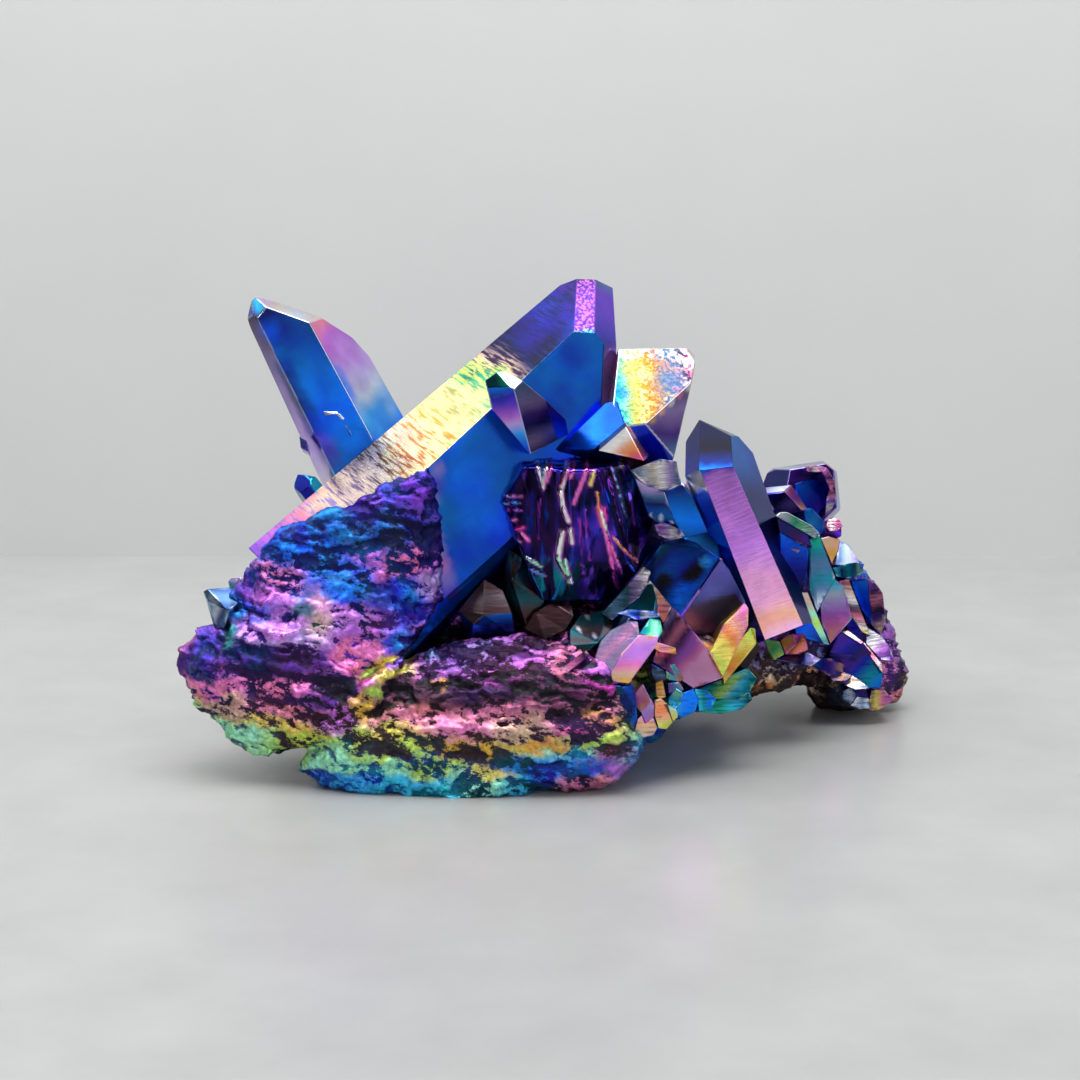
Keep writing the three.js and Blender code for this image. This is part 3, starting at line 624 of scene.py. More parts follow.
# The smaller points: foot and tip in mm, half width, share of it across the flat pair of faces, turn in
# degrees, and the colours of the faces that look up, left, right and towards the front lobe.
smallPoints = [
    ([-26, 25, 29], [-32.6, 26, 37.4], 1.9, 0.8, 20, "cyan green indigo indigo"),
    ([18, 30, 20], [18.8, 34, 36], 3.2, 0.8, 10, "beige slate azure azure"),
    ([13, 28, 22], [15.4, 32, 36], 3.4, 0.8, 40, "beige mauve navy navy"),
    ([14, 24, 16], [23.5, 31, 29], 3.8, 0.9, 25, "sky azure ink cobalt"),
    ([26, 33, 20], [30, 40, 36], 3, 0.8, 0, "azure azure indigo cobalt"),
    ([8, 15, 14], [14.5, 13, 25], 3, 0.8, 20, "slate teal slate pine"),
]
smallPointSeed = 3
backRow = {
    "count": 24, "seed": 7, "colourSeed": 5, "start": [-27, 36, 18], "middle": [0, 46, 22], "end": [34, 53, 20],
    "sway": (-2, 2), "sink": (-8, 2), "lean": (25, 85), "fanFrom": 125, "fanTurn": 70, "fanSpread": 30,
    "length": (9, 20), "halfWidth": (1.8, 3.8), "flat": 0.7, "flatSpread": 0.3, "turn": (0, 60),
    "colours": ["azure cobalt violet ink", "rose orchid violet cobalt", "yellow gold rose magenta",
                "cyan teal azure green", "lilac violet indigo azure", "peach pink magenta violet"],
}
pointCut = {
    "tipAngle": 38.2,  # between a tip face and the length of a quartz crystal, in degrees
    "lowTip": 0.22, "edge": 0.12, "step": 1.2, "upPull": 1.05, "frontPull": 0.9, "mainFirst": 0.6,
}


def addPoint(whole, foot, tip, half, flat, turn, colours, rng):
    bottom, top = Vector(foot), Vector(tip)
    axis = (top - bottom).normalized()
    turned = Vector(up).rotation_difference(axis)
    planes = {"foot": (-axis, -axis.dot(bottom))}
    tilt = math.radians(90 - pointCut["tipAngle"])
    for i in range(6):
        heading = math.radians(60 * i + turn)
        outward = turned @ Vector((math.cos(heading), math.sin(heading), 0))
        width = half * flat if i % 3 == 0 else half
        planes[f"side{i}"] = (outward, outward.dot(top) + width)
        face = outward * math.sin(tilt) + axis * math.cos(tilt)
        deeper = 0 if i % 2 == 0 else half * pointCut["lowTip"]
        planes[f"tip{i}"] = (face, face.dot(top) + deeper)
    bm = cutToPlanes(top, planes.values())
    softenEdges(bm, pointCut["edge"], 1)
    sliceEvenly(bm, axis, pointCut["step"])
    bm.verts.ensure_lookup_table()
    above, left, right, front = choices = colours.split()
    paint = {"rest": (up, [right, front])}
    for face, (normal, _) in planes.items():
        scores = {above: normal.z * pointCut["upPull"], left: -normal.x, right: normal.x,
                  front: -normal.y * pointCut["frontPull"]}
        main = max(scores, key=scores.get)
        second = rng.choice(choices)
        mainFirst = rng.random() < pointCut["mainFirst"]
        paint[face] = (axis, [main, main, second] if mainFirst else [second, main, main])
    # the bevelled edges get a painted mist-coloured highlight
    paintCrystal(bm, planes, paint, "mist", axis)
    shadeFlat(bm, planes)
    addTo(whole, bm)


def frontPoints():
    rng = random.Random(smallPointSeed)
    whole = paintedGroup()
    for point in smallPoints:
        addPoint(whole, *point, rng)
    return finishPiece("small_points", whole, filmOnQuartz)


def sequence(seed, multiplier=16807, modulus=2147483647):
    # a fixed run of numbers between 0 and 1, the same as the solid's
    state = seed * 7919 + 13  # spreads small seeds apart
    while True:
        state = (state * multiplier) % modulus
        yield state / modulus


def backPoints():
    draw = sequence(backRow["seed"])
    rng = random.Random(backRow["colourSeed"])
    start, middle, end = (Vector(backRow[k]) for k in ("start", "middle", "end"))
    whole = paintedGroup()

    def between(key):
        low, high = backRow[key]
        return low + (high - low) * next(draw)

    for i in range(backRow["count"]):
        share = (i + 0.5) / backRow["count"]
        onRow = start * (1 - share) ** 2 + middle * 2 * share * (1 - share) + end * share ** 2
        foot = onRow + Vector((0, between("sway"), between("sink")))
        lean = between("lean")
        fan = backRow["fanFrom"] - backRow["fanTurn"] * share + backRow["fanSpread"] * (next(draw) - 0.5)
        outward = direction(fan, 90 - lean)
        length = between("length")
        half = between("halfWidth")
        flat = backRow["flat"] + backRow["flatSpread"] * next(draw)
        turn = between("turn")
        addPoint(whole, foot, foot + outward * length, half, flat, turn, rng.choice(backRow["colours"]), rng)
    return finishPiece("back_points", whole, filmOnQuartz)


frontPoints()
backPoints()
print("small points made")

blockSize = {
    "back": (-0.3, 5, -1.2), "edge": 0.1, "step": 0.5, "flatAngle": 0.14, "leastArea": 0.08, "worn": 0.15,
}


def plate(look, run, colours, edgeHighlightColour, corners, rear="indigo", second=None, **more):
    # a small block: it is painted on the side that looks in the direction look (heading, rise), and the rest
    # of it is plain. corners are in mm on the side seen from the front; it also runs back into the cluster
    # edgeHighlightColour is painted along the bevelled edges: mostly a pale painted highlight, on dark blocks a dark
    # line
    paint = [(*look, run, colours)]
    if second:
        paint.append(second)
    elif rear:
        paint.append((90, 0, down, rear))
    return {"paint": paint, "edgeHighlightColour": edgeHighlightColour, "corners": corners, **more}


# The blocky small crystals of the right end, and then of the front right.
rightEndBlocks = {
    "blunt_blue_patch": plate((-75, 25), slant, "azure ink indigo", "indigo", [
        (36.9, 46.7, 33), (39.5, 47.7, 33.7), (41.3, 47.8, 32.8), (41.5, 46.4, 29.9), (39.7, 45.2, 28.4),
        (37.5, 45.2, 29.7)]),
    "blunt_rim_top": plate((-60, 40), across, "rose plum pearl pink", "rose", [
        (38.3, 45.5, 35.7), (39.7, 46.4, 35.8), (41.4, 47, 35.4), (40.7, 46, 34.8), (38.5, 45, 35)], worn=0.48),
    "blunt_rim_high": plate((-50, 10), down, "pink purple rose plum", "rose", [
        (41.3, 45.9, 35.6), (42.6, 46.6, 33.6), (42.9, 46.5, 32), (41.8, 45.7, 32.4),
        (40.6, 45.3, 34.9)], worn=0.48),
    "blunt_rim_low": plate((-50, 0), down, "plum rose violet pearl purple", "rose", [
        (41.8, 45.8, 32.4), (42.9, 46.7, 32), (42.9, 46.7, 30.5), (42.2, 46.1, 29.1), (41.2, 45.3, 28.5),
        (41.3, 45.4, 30.4)], worn=0.48),
    "shoulder_strip": plate((-90, 65), across, "mauve mist pearl", "mist", [
        (31.9, 42.9, 33), (36, 43.6, 33.3), (34.9, 42.1, 32.6), (32, 41.5, 32.3)]),
    "shoulder_pink": plate((-30, 35), down, "pink orchid peach", "pearl", [
        (36.1, 43.9, 33.2), (38.4, 43.1, 29.8), (37.3, 41.4, 29.9), (34.7, 40.8, 32.7)]),
    "shoulder_face": plate((-95, -12), slant, "indigo plum mauve purple", "mauve", [
        (32, 41.4, 32.3), (34.7, 41.1, 32.7), (37.5, 41.5, 29.9), (35.7, 41.7, 29.4), (33.5, 41.8, 29.9),
        (32.5, 41.6, 31.4)]),
    "azure_chip": plate((-90, 20), slant, "azure sky cobalt", "azure", [
        (37.6, 42.6, 30), (38.9, 42.7, 30.1), (40.7, 42, 28.2), (40.4, 41.4, 26.6), (39.3, 41.5, 27),
        (38, 41.9, 28.1)]),
    "white_lip": plate((-80, 30), across, "pearl mist green mint mist", "white", [
        (32.1, 28.7, 31.2), (32.7, 29, 31.7), (33.7, 29.2, 31.7), (37.1, 28.7, 29.9), (38.1, 28.4, 28.9),
        (37.4, 27.9, 28.3), (36.5, 28.2, 29.1), (33.1, 28.7, 31)], worn=0.4),
    "plate_upper": plate((-95, 8), slant, "plum navy plum purple", "navy", [
        (32.3, 30, 30.9), (33.4, 29.9, 30.8), (36.6, 29.3, 28.9), (37.2, 29, 26.8), (35, 29.3, 27.8),
        (32.8, 29.6, 28.7)]),
    "plate_blush": plate((-85, 25), slant, "teal peach rose lilac", "pearl", [
        (33.4, 29.7, 28.7), (36.4, 29.7, 28.2), (36.6, 29.2, 27), (35, 28.6, 26.1),
        (33.7, 28.9, 27.1)], worn=0.4),
    "plate_lower": plate((-90, -5), down, "azure cobalt ink navy black", "ink", [
        (32.7, 28.6, 29), (33.6, 28.8, 27.1), (35.1, 28.9, 26.1), (36.7, 28.8, 26.9), (36.7, 29.2, 23),
        (36, 29.4, 20.5), (34.3, 29.2, 22), (32.9, 29.1, 23.5)], worn=0.4),
    "teal_prism": plate((-100, 15), down, "green teal slate teal slate mist", "teal", [
        (36.9, 31.6, 28.4), (38.5, 31.3, 28.1), (40.1, 29.9, 24.1), (40.6, 29.4, 22.5), (39.4, 29.1, 20.9),
        (38, 28.5, 17.8), (37, 29.6, 20.8), (37.2, 30.6, 24.8)]),
    "lilac_face": plate((-75, 25), down, "cyan mist lilac orchid pink peach", "mist", [
        (41.6, 38, 20.8), (42.9, 37.9, 19.8), (44.1, 36.1, 15.4), (42.3, 34.9, 14), (40.7, 33.6, 12.3),
        (39.5, 34.6, 15.1), (39.4, 36, 18), (40.7, 37, 19.3)]),
    "cream_strip": plate((-100, 15), down, "champagne beige mint lime mint teal", "pearl", [
        (34.6, 28.9, 20.6), (36.7, 28.6, 20.7), (38.4, 27.3, 17.1), (39.6, 26.2, 13.8), (38.6, 26.4, 14),
        (36.4, 27.5, 16.7)]),
    "sparkle_strip": plate((-60, 5), down, "plum purple plum mauve plum", "rose", [
        (32.5, 27.4, 24), (34.2, 28.2, 22.5), (36, 29, 20.3), (35.4, 28.5, 17.9), (35, 27.9, 15.2),
        (34.2, 27.6, 16.2), (34, 27.8, 19.2), (33.1, 27.5, 21.8)], worn=0.48),
    "foot_navy": plate((-90, 15), slant, "ink azure navy", "navy", [
        (34.7, 27, 18.1), (35.9, 27.2, 18.9), (37.1, 26.7, 16.9), (38.7, 25.9, 14), (36.9, 26, 14.6),
        (34.8, 26.2, 15.1)]),
    "pink_knob_low": plate((-110, -15), down, "hotPink rose magenta", "magenta", [
        (41, 42.7, 27.2), (41.9, 42.1, 28), (43.1, 41.8, 27.6), (43.2, 42.2, 26.1), (42.2, 42.7, 25.4),
        (41.2, 42.9, 26)], worn=0.4),
    "pink_knob": plate((-90, 35), across, "pink white rose hotPink", "pink", [
        (40.9, 42, 27.5), (41.3, 42.6, 28.4), (42.1, 42.9, 28.7), (43, 42.6, 28.4), (43.3, 42, 27.5),
        (42.3, 41.6, 26.9), (41.3, 41.6, 26.9)], worn=0.45),
    "champagne_cone": plate((-85, 0), down, "champagne peach gold peach", "pearl", [
        (40, 40.9, 26), (41.2, 41, 26.3), (42.8, 41.1, 25.8), (42.2, 41.1, 22), (41.7, 41, 22.3)]),
    "grey_blue": plate((-60, 25), across, "slate mist mauve", "pearl", [
        (42.9, 42.1, 25.5), (44.3, 42.5, 24.8), (45.9, 42.1, 22.4), (44, 40.9, 22), (42.1, 39.9, 22.3)]),
    "teal_cap": plate((-90, 30), across, "cyan navy teal navy mint", "mint", [
        (41.7, 40, 21.9), (43.8, 40.3, 22.5), (45.6, 40.4, 22.7), (46.1, 39.6, 21.2), (44.1, 39.2, 20.5),
        (42.1, 39.3, 20.8)], worn=0.4),
    "bead_strip": plate((-100, 15), down, "rose champagne pearl plum rose pearl yellow", "rose", [
        (42.7, 40.3, 19.9), (44, 40.2, 20.4), (44.5, 39.7, 18.7), (44.9, 38.8, 15.9), (46.4, 38.1, 14),
        (47, 37.5, 12.5), (45.8, 37.9, 13), (44.2, 38.8, 15.4), (43.2, 39.7, 17.9)], worn=0.48),
    "ribbed_left": plate((-115, 8), down, "sky azure azure cobalt azure", "white", [
        (44.4, 40.3, 20), (46.7, 39.3, 20.5), (47.1, 38.6, 16.9), (47.2, 38.1, 14), (45.8, 39.1, 16.1),
        (44.8, 39.9, 18.4)]),
    "ribbed_right": plate((-50, 10), down, "orchid purple rose plum purple champagne", "rose", [
        (46.6, 39.1, 20.5), (48.1, 40.1, 19.5), (49.1, 40.6, 18.1), (49.5, 40.1, 14.6), (48.7, 39, 12.3),
        (47.2, 38.1, 14), (47.2, 38.7, 16.9)], worn=0.45),
    "small_navy": plate((-90, 20), slant, "indigo ink plum", "navy", [
        (43.5, 39.1, 14.8), (45, 39.4, 15.5), (46.5, 38.7, 13.6), (46.9, 38, 11.8), (45.3, 37.9, 11.4),
        (43.8, 38.5, 13.2)], worn=0.4),
    "end_upper_mass": plate((-60, 25), slant, "mist pearl orchid purple", "orchid", [
        (46.5, 38.6, 13.7), (48.7, 39.2, 12.4), (50.2, 38.8, 10.2), (50.7, 38.2, 8.6), (48.5, 37.2, 9.1),
        (46.3, 37.3, 11.5)], worn=0.5),
    "dark_end_top": plate((-100, 15), slant, "purple indigo navy plum", "champagne", [
        (41, 36.8, 10.3), (41.5, 37.1, 11.5), (42.7, 37.3, 13.3), (43.7, 37.2, 13.4), (45.6, 36.5, 12),
        (47, 35.8, 10.3), (45, 35.9, 9.4), (42.8, 36.3, 9.6)]),
    "dark_end_face": plate((-90, 0), slant, "navy purple ink teal azure", "navy", [
        (40.9, 36.2, 10.3), (42.8, 36.2, 9.8), (45.1, 36.2, 9.5), (47, 36.2, 10.2), (48.4, 36.2, 8.5),
        (48.7, 36.2, 7.1), (48.4, 36.2, 5.2), (46.3, 36.2, 5.2), (43, 36.2, 7), (41.1, 36.2, 9)], worn=0.42),
    "champagne_edge": plate((-80, 45), slant, "champagne pearl rose", "champagne", [
        (42.6, 36.3, 13.4), (43.6, 36.7, 13.6), (45.7, 35.5, 12.1), (45.3, 35.2, 11.8),
        (43.6, 36.3, 13.2)], worn=0.45),
    "champagne_edge_low": plate((-70, 45), slant, "champagne rose pearl", "champagne", [
        (45.6, 37, 11.4), (46.1, 37.5, 11.7), (48.4, 35.4, 8.9), (48.3, 34.2, 7.8), (48, 34.9, 8.6)], worn=0.45),
    "spear": plate((-90, 25), across, "azure indigo violet peach", "azure", [
        (38.1, 34.5, 9.1), (39.1, 35, 10.1), (41, 34.9, 9.9), (43, 34.6, 9.1), (42.7, 34.1, 8.2),
        (40.7, 33.8, 7.6)]),
    "spear_pink": plate((-90, 40), across, "mauve peach slate", "mauve", [
        (40.8, 34.5, 7.4), (42.8, 35, 8), (44.2, 34.6, 7.5), (43, 34, 6.8), (41.3, 34, 6.8)]),
    "champagne_streaks": plate((-90, 40), slant, "pearl champagne pearl slate", "pearl", [
        (42.5, 35.5, 6.9), (43.9, 35.9, 7.4), (45.3, 35.3, 6.7), (46.6, 34.4, 5.6), (44.4, 34.2, 5.5),
        (43.1, 34.7, 6)], worn=0.45),
    "end_grey_one": plate((-110, 10), across, "slate mist navy", "slate", [
        (43, 35.9, 5), (44.2, 35.6, 5.6), (44.9, 35.1, 4.4), (44, 35.2, 3), (42.9, 35.7, 3.8)], worn=0.45),
    "end_grey_two": plate((-80, -5), across, "navy plum ink", "slate", [
        (44.1, 35, 5.7), (46.2, 35.4, 5.5), (46.7, 35.6, 3.9), (44.9, 35.2, 4.3)], worn=0.45),
    "end_grey_three": plate((-95, 15), across, "pearl slate mist", "slate", [
        (45, 35.7, 4.2), (46.7, 35.5, 4), (46.8, 35.1, 2.5), (45.4, 35.2, 2.4), (44, 35.5, 2.9)], worn=0.45),
    "end_gold_facet": plate((-70, 10), across, "navy yellow rose orchid", "rose", [
        (47, 35.8, 5), (48.9, 36.6, 5.1), (50.3, 36.7, 3.3), (49.2, 36.2, 2.6), (47.4, 35.4, 1.9),
        (46.5, 35.2, 2.6)], worn=0.45),
    "green_foot": plate((-100, 25), slant, "lime green lime", "green", [
        (30.2, 24.4, 15.3), (32.4, 23.8, 14.9), (33, 22.9, 13.3), (31.6, 22.8, 12.5), (30.8, 23.5, 13.7)]),
    "orange_foot": plate((-90, 30), slant, "orange gold hotPink", "orange", [
        (32.5, 24.1, 14.9), (33.4, 24.5, 15.6), (34.4, 24.6, 15.8), (34.7, 23.8, 14.4), (33.1, 23.1, 13.2)]),
    "orange_foot_two": plate((-75, 20), slant, "magenta plum orange pink", "plum", [
        (34.5, 25, 15.7), (36.1, 25.4, 15.5), (36.4, 24.7, 13.5), (35.2, 24.2, 13), (33.1, 23.7, 13.1),
        (34.8, 24.6, 14.2)], worn=0.45),
    "shelf_grey": plate((-90, 50), across, "smoke mauve navy smoke", "umber", [
        (31.3, 25.6, 12.1), (33.4, 26.1, 12.5), (36.6, 26.4, 12.8), (38.4, 25.5, 12), (36.9, 24.5, 11.2),
        (34, 25, 11.6)], worn=0.46),
}
frontRightBlocks = {
    "beige_top": plate((-80, 20), across, "slate mist beige white lilac slate", "pearl", [
        (11.7, 16.6, 39.3), (13.4, 17.2, 40), (15.6, 17.8, 40.6), (17.8, 18.1, 40.2), (18.4, 17.1, 37.3),
        (16.5, 16.5, 36.6), (14.2, 16.3, 37.1), (12.6, 16.4, 38.1)], worn=0.36),
    "beige_left": plate((-105, -3), down, "mist lilac slate navy lapis navy", "mist", [
        (12, 17.5, 38.9), (14.3, 17, 37), (16.1, 16.5, 36.6), (17.7, 16.4, 32.2), (15.6, 16.9, 31.9),
        (14.1, 17.3, 33.2), (13, 17.4, 35.9)], worn=0.36),
    "blue_right": plate((-75, -5), down, "navy lapis azure lapis", "azure", [
        (16.1, 16.6, 36.6), (18.5, 17.2, 37.3), (19.8, 17.7, 35.8), (22.1, 18.8, 30.6), (18.9, 18, 30.1),
        (17.2, 17.3, 32.8)]),
    "lilac_bits": plate((-90, 25), across, "orchid lilac pearl indigo", "lilac", [
        (14.8, 15.9, 32.2), (16.1, 16, 32.5), (18.3, 15.6, 31.6), (18.8, 15.2, 30.7), (16.6, 15, 30.3),
        (15.2, 15.3, 31.1)], worn=0.48),
    "pit_top": plate((-100, 22), slant, "pine navy lapis navy azure lapis", "lapis", [
        (13.4, 19.1, 25.6), (14.5, 19.7, 27.4), (16.1, 20, 29), (18.5, 20, 29.8), (20.4, 19.4, 29.3),
        (23.7, 18.1, 27.4), (21.6, 17.2, 24.5), (18.3, 16, 20.1), (16, 17.2, 22.1), (13.6, 18.3, 23.7)], worn=0.4,
        # the black spots paint the shade inside two small hollows, and the sky spot a highlight on the rim of one
        spots=[(20.2, 17.9, 25.4, 1.7, "black", 1), (21, 18, 26.1, 1.2, "black", 1),
        (19.4, 17.8, 24.9, 1.2, "black", 0.9), (16.3, 18.1, 24.4, 1.5, "black", 1),
        (15.6, 17.8, 23.4, 1.2, "black", 0.8), (21.7, 18.2, 26.8, 1, "sky", 0.7), (18.4, 18.8, 27, 2, "ink", 0.8)]),
    "lilac_edge": plate((-60, 30), (-1, 0, -1), "lilac mauve violet", "lilac", [
        (24.1, 22.1, 26.7), (24.4, 22, 26.4), (18.5, 14.4, 20.1), (18.1, 14.5, 20.5)]),
    "indigo_face": plate((-75, -12), slant, "haze haze dusk haze", "lilac", [
        (23.7, 17.6, 27.4), (24.8, 18.2, 26), (27.3, 20, 21.1), (22.7, 20.2, 14.4), (18.6, 18, 19.6)], worn=0.2),
    "gold_one": plate((-68, 32), (-1, 0, -1), [("pink", 0), ("rose", 0.2), ("peach", 0.35), ("orange", 0.5),
        ("yellow", 0.68), ("yellow", 0.85), ("lime", 1)], "peach", [
        (27, 18.1, 21.4), (27.5, 17.9, 20.7), (27.3, 16.4, 18.6), (24.8, 13.7, 16.2), (23.6, 11.1, 13.1),
        (21.9, 12.4, 15.9), (24, 15.5, 19.2)], rear="gold"),
    "gold_two": plate((-68, 25), down, "lime yellow gold orange yellow", "yellow", [
        (27.6, 16.8, 18.3), (28.3, 17, 18.2), (28.4, 16.1, 16.3), (25.4, 13.4, 13.4), (23.8, 12, 11.8),
        (23.7, 12.4, 12.7), (24.9, 14.5, 16)], rear="umber"),
    "gold_shade": plate((-60, -10), down, "umber black", "umber", [
        (28.5, 17.2, 16.6), (29.1, 17.8, 15.4), (27.5, 17.4, 12.7), (25.4, 16.4, 11.9),
        (25.7, 16.3, 12.9)], rear="black"),
    "slope_top": plate((-75, 30), down, "pearl peach rose orange", "pearl", [
        (13.7, 13.4, 24.9), (14.2, 13.8, 25.3), (15.5, 13.1, 23.5), (17, 12.5, 22), (15.8, 11.1, 20.2),
        (15, 11.7, 21.5)], worn=0.44),
    "pink_slope": plate((-76, 30), slant, [("mauve", 0), ("plum", 0.12), ("rose", 0.24), ("plum", 0.34),
        ("orchid", 0.46), ("orchid", 0.5), ("pink", 0.58), ("blush", 0.66), ("blush", 1)], "heather", [
        (16, 13.6, 19.7), (17.2, 15, 21.5), (18.5, 14.6, 20.3), (22, 12.9, 16), (23.7, 11.5, 12.9),
        (19.8, 9.9, 11.8), (18.5, 10.1, 12.8), (15.9, 10.3, 14.2), (14.5, 10.6, 15.2), (15, 11.7, 16.9)], worn=0.3),
    "slope_wisps": plate((-90, 15), across, "peach rose gold", "peach", [
        (13.9, 10.9, 17.3), (14.8, 11, 17.8), (17.5, 10.8, 17), (17.6, 10.6, 16.2),
        (15.4, 10.6, 16.4)], worn=0.4),
    "double_left": plate((-112, 35), slant, "mist lilac blush lilac mist", "pearl", [
        (9.8, 8.1, 20.3), (11.3, 8.1, 21.1), (12.4, 7.7, 21.1), (12.6, 6.6, 19.8), (10.2, 5.8, 17.5),
        (9.3, 4.9, 15.8), (8.2, 4.3, 14.4), (7.2, 4.9, 14.6), (6.8, 6.3, 16.2), (7.6, 7.7, 18.5),
        (8.8, 8.2, 19.8)], rear="teal"),
    "pink_body": plate((-78, 8), down, "blush heather heather pink champagne gold", "blush", [
        (10.2, 5.3, 17.5), (12.5, 6.2, 19.8), (15, 6.7, 19.5), (14.8, 6.5, 18.4), (13.4, 5.8, 16.3),
        (11.2, 5, 13.7), (8.2, 4.4, 14.1), (9.3, 4.9, 15.8)], rear="plum"),
    "double_cap": plate((-60, 28), across, "teal green mint green", "mint", [
        (12.5, 6.4, 19.8), (14, 8.3, 21.5), (15.3, 8.7, 21.1), (15.6, 8.1, 19.8), (15.1, 7.4, 19.1),
        (13.6, 6.8, 19.5)]),
    "ridge_arc": plate((-90, 38), across, "mist azure ink mist azure", "sky", [
        (9.8, 9.6, 21.8), (11.2, 10, 22.3), (13.1, 9.7, 21.9), (14.5, 9.8, 22.1), (15.5, 9.3, 21.4),
        (14, 9.3, 21.4), (12.7, 9, 21), (11, 9.3, 21.4)], worn=0.42),
    "ridge_knot": plate((-95, 20), across, "pine slate pine mauve pearl", "slate", [
        (8, 10, 21.7), (10, 10.4, 23.4), (11.8, 11, 25.3), (13.4, 11.7, 27.5), (14.2, 11.3, 26.8),
        (13.8, 10.8, 25.4), (12.8, 10.3, 23.8), (11, 10.1, 22.6), (9.2, 9.6, 20.9)], worn=0.52),
    "base_dark": plate((-95, 6), slant, "pine pine navy navy pine", "navy", [
        (6, 4.1, 13.1), (8, 4, 13.9), (10.2, 3.8, 13.7), (11.3, 3.5, 12.1), (11.7, 3.3, 10), (10.3, 3.1, 7.3),
        (7, 3.3, 6.7), (5.9, 3.7, 9.9)], worn=0.46),
    "base_azure": plate((-85, 12), down, "lapis navy lapis sky", "azure", [
        (10.3, 5, 13.4), (11.8, 5.1, 13.6), (11.7, 4.7, 11.7), (12.3, 4.3, 9.5), (11.6, 3.7, 7), (10.3, 3.6, 7),
        (11.2, 4.2, 9.5), (11.1, 4.7, 11.7)], worn=0.48),
    "small_pink": plate((-110, 12), down, "blush pink peach", "blush", [
        (11.6, 5.5, 12), (13, 5.4, 13.6), (13.9, 4.7, 11.9), (14, 4.5, 11.2), (12.7, 4.7, 10.1),
        (11.7, 5.3, 11)]),
    "small_lilac": plate((-70, 5), down, "lilac mauve orchid", "lilac", [
        (14, 5.4, 11.8), (14.5, 5.5, 10.7), (14.4, 5.3, 9.3), (13.3, 4.8, 8.5), (12.7, 4.8, 10.1),
        (14, 5.3, 11)]),
    "peach_low": plate((-85, 5), down, "blush peach champagne beige", "pearl", [
        (12.3, 5.2, 9.1), (13, 5.3, 9.8), (14.4, 5.4, 9.2), (14.9, 5.3, 7.9), (14.4, 5.2, 7), (12.7, 5, 6.6),
        (11.9, 5, 7.4)], worn=0.44),
    "peach_high": plate((-75, 15), down, "peach orange peach lime", "pearl", [
        (14.6, 6.6, 11.2), (15.4, 6.9, 11.4), (16.2, 6.9, 10.6), (16.9, 6.5, 8.3), (16.1, 6, 7.5), (15, 5.8, 7.7),
        (14.5, 6.1, 9.2)], worn=0.4),
    "lime_chip": plate((-60, 0), down, "mint yellow", "mint", [
        (16.1, 6.1, 10.8), (17.4, 6.8, 9.9), (17.6, 6.9, 8.9), (16.9, 6.6, 8.3)]),
    "peach_top": plate((-90, 20), down, "gold peach", "gold", [
        (14.7, 8.4, 13), (15.7, 8.5, 13.4), (16.1, 7.7, 11.3), (15.3, 7.7, 11), (14.8, 7.7, 11.3)]),
    "mauve_smooth": plate((-80, 20), down, "plum slate umber", "umber", [
        (14.2, 9.4, 15.3), (15.9, 9.3, 14.4), (16.3, 8.9, 13.2), (14.7, 8.5, 12.9), (14.2, 8.9, 14)], worn=0.4),
    "cyan_wedge": plate((-95, 22), across, "mint cyan orange", "cyan", [
        (16.1, 10.9, 14.8), (17.3, 10.9, 14.9), (18.5, 10.1, 13.2), (18, 9.9, 12.7), (16.2, 10.2, 13)]),
    "sky_chip": plate((-110, 15), down, "mint cyan sky", "cyan", [
        (16.4, 8.8, 10.8), (17.4, 8.8, 12.2), (18.3, 8.3, 11.7), (18, 8, 10.3), (17.1, 8, 9.2),
        (16.4, 8.4, 9.7)]),
    "orchid_chip": plate((-90, 30), across, "orchid sky mist", "mist", [
        (16.4, 9.7, 12.6), (18, 9.8, 12.7), (18.5, 9.2, 11.8), (17.4, 9.4, 12.1), (16.5, 9, 11.4)]),
    "azure_chip_low": plate((-85, 10), across, "sky azure azure", "sky", [
        (18.3, 9, 11.5), (19.7, 9.2, 12), (20.4, 9, 10.6), (19.9, 8.7, 9.1), (18.3, 8.5, 8.3), (17.2, 8.4, 8.9),
        (18.1, 8.7, 10.1)], worn=0.42),
    "teal_chip_low": plate((-75, 12), across, "cyan teal azure", "teal", [
        (19.8, 9.6, 11.9), (21.6, 10, 11.6), (22.7, 10, 10.4), (22.1, 9.6, 9.3), (20.4, 9.1, 9),
        (20.2, 9.3, 10.5)], worn=0.45),
    "teal_mound": plate((-80, 30), slant, "teal green lime cyan teal", "teal", [
        (19.9, 11.5, 11.2), (23.9, 12.5, 11.8), (25.4, 13.6, 13.1), (27.1, 14.1, 13.5), (28.3, 13.6, 12.3),
        (27.3, 12.5, 10.7), (25.7, 11.7, 9.9), (22.8, 11.3, 10)], worn=0.48),
    "teal_mound_low": plate((-85, 0), across, "teal green cyan pine", "pine", [
        (21.7, 11.9, 9.5), (25.7, 12.3, 9.7), (27.3, 12.4, 10.7), (27.6, 12.4, 9.7), (26.3, 12.3, 8.5),
        (23.7, 12.1, 7.9), (20.8, 11.9, 8.2)], worn=0.48),
    "azure_band": plate((-125, 30), (-1, 0, 0), "lapis lapis azure lapis navy", "azure", [
        (8.5, 18, 47.9), (9.9, 17.2, 48.2), (10.8, 14.6, 45.5), (6.9, 15, 42.1), (2.2, 18.1, 41.7),
        (4.4, 17.9, 43.8)], back=(2, 6, -3)),
    "peach_triangle": plate((-98, 0), slant, [("white", 0), ("white", 0.3), ("peach", 0.5), ("orange", 0.75),
        ("hotPink", 1)], "white", [
        (10.9, 15.5, 45.3), (13.4, 15.2, 40.6), (10.3, 15.6, 41.1), (7, 16.1, 41.9)], worn=0.3, back=(1, 5, 0)),
    "glint_one": plate((-81, 30), across, "mist pearl", "mist", [
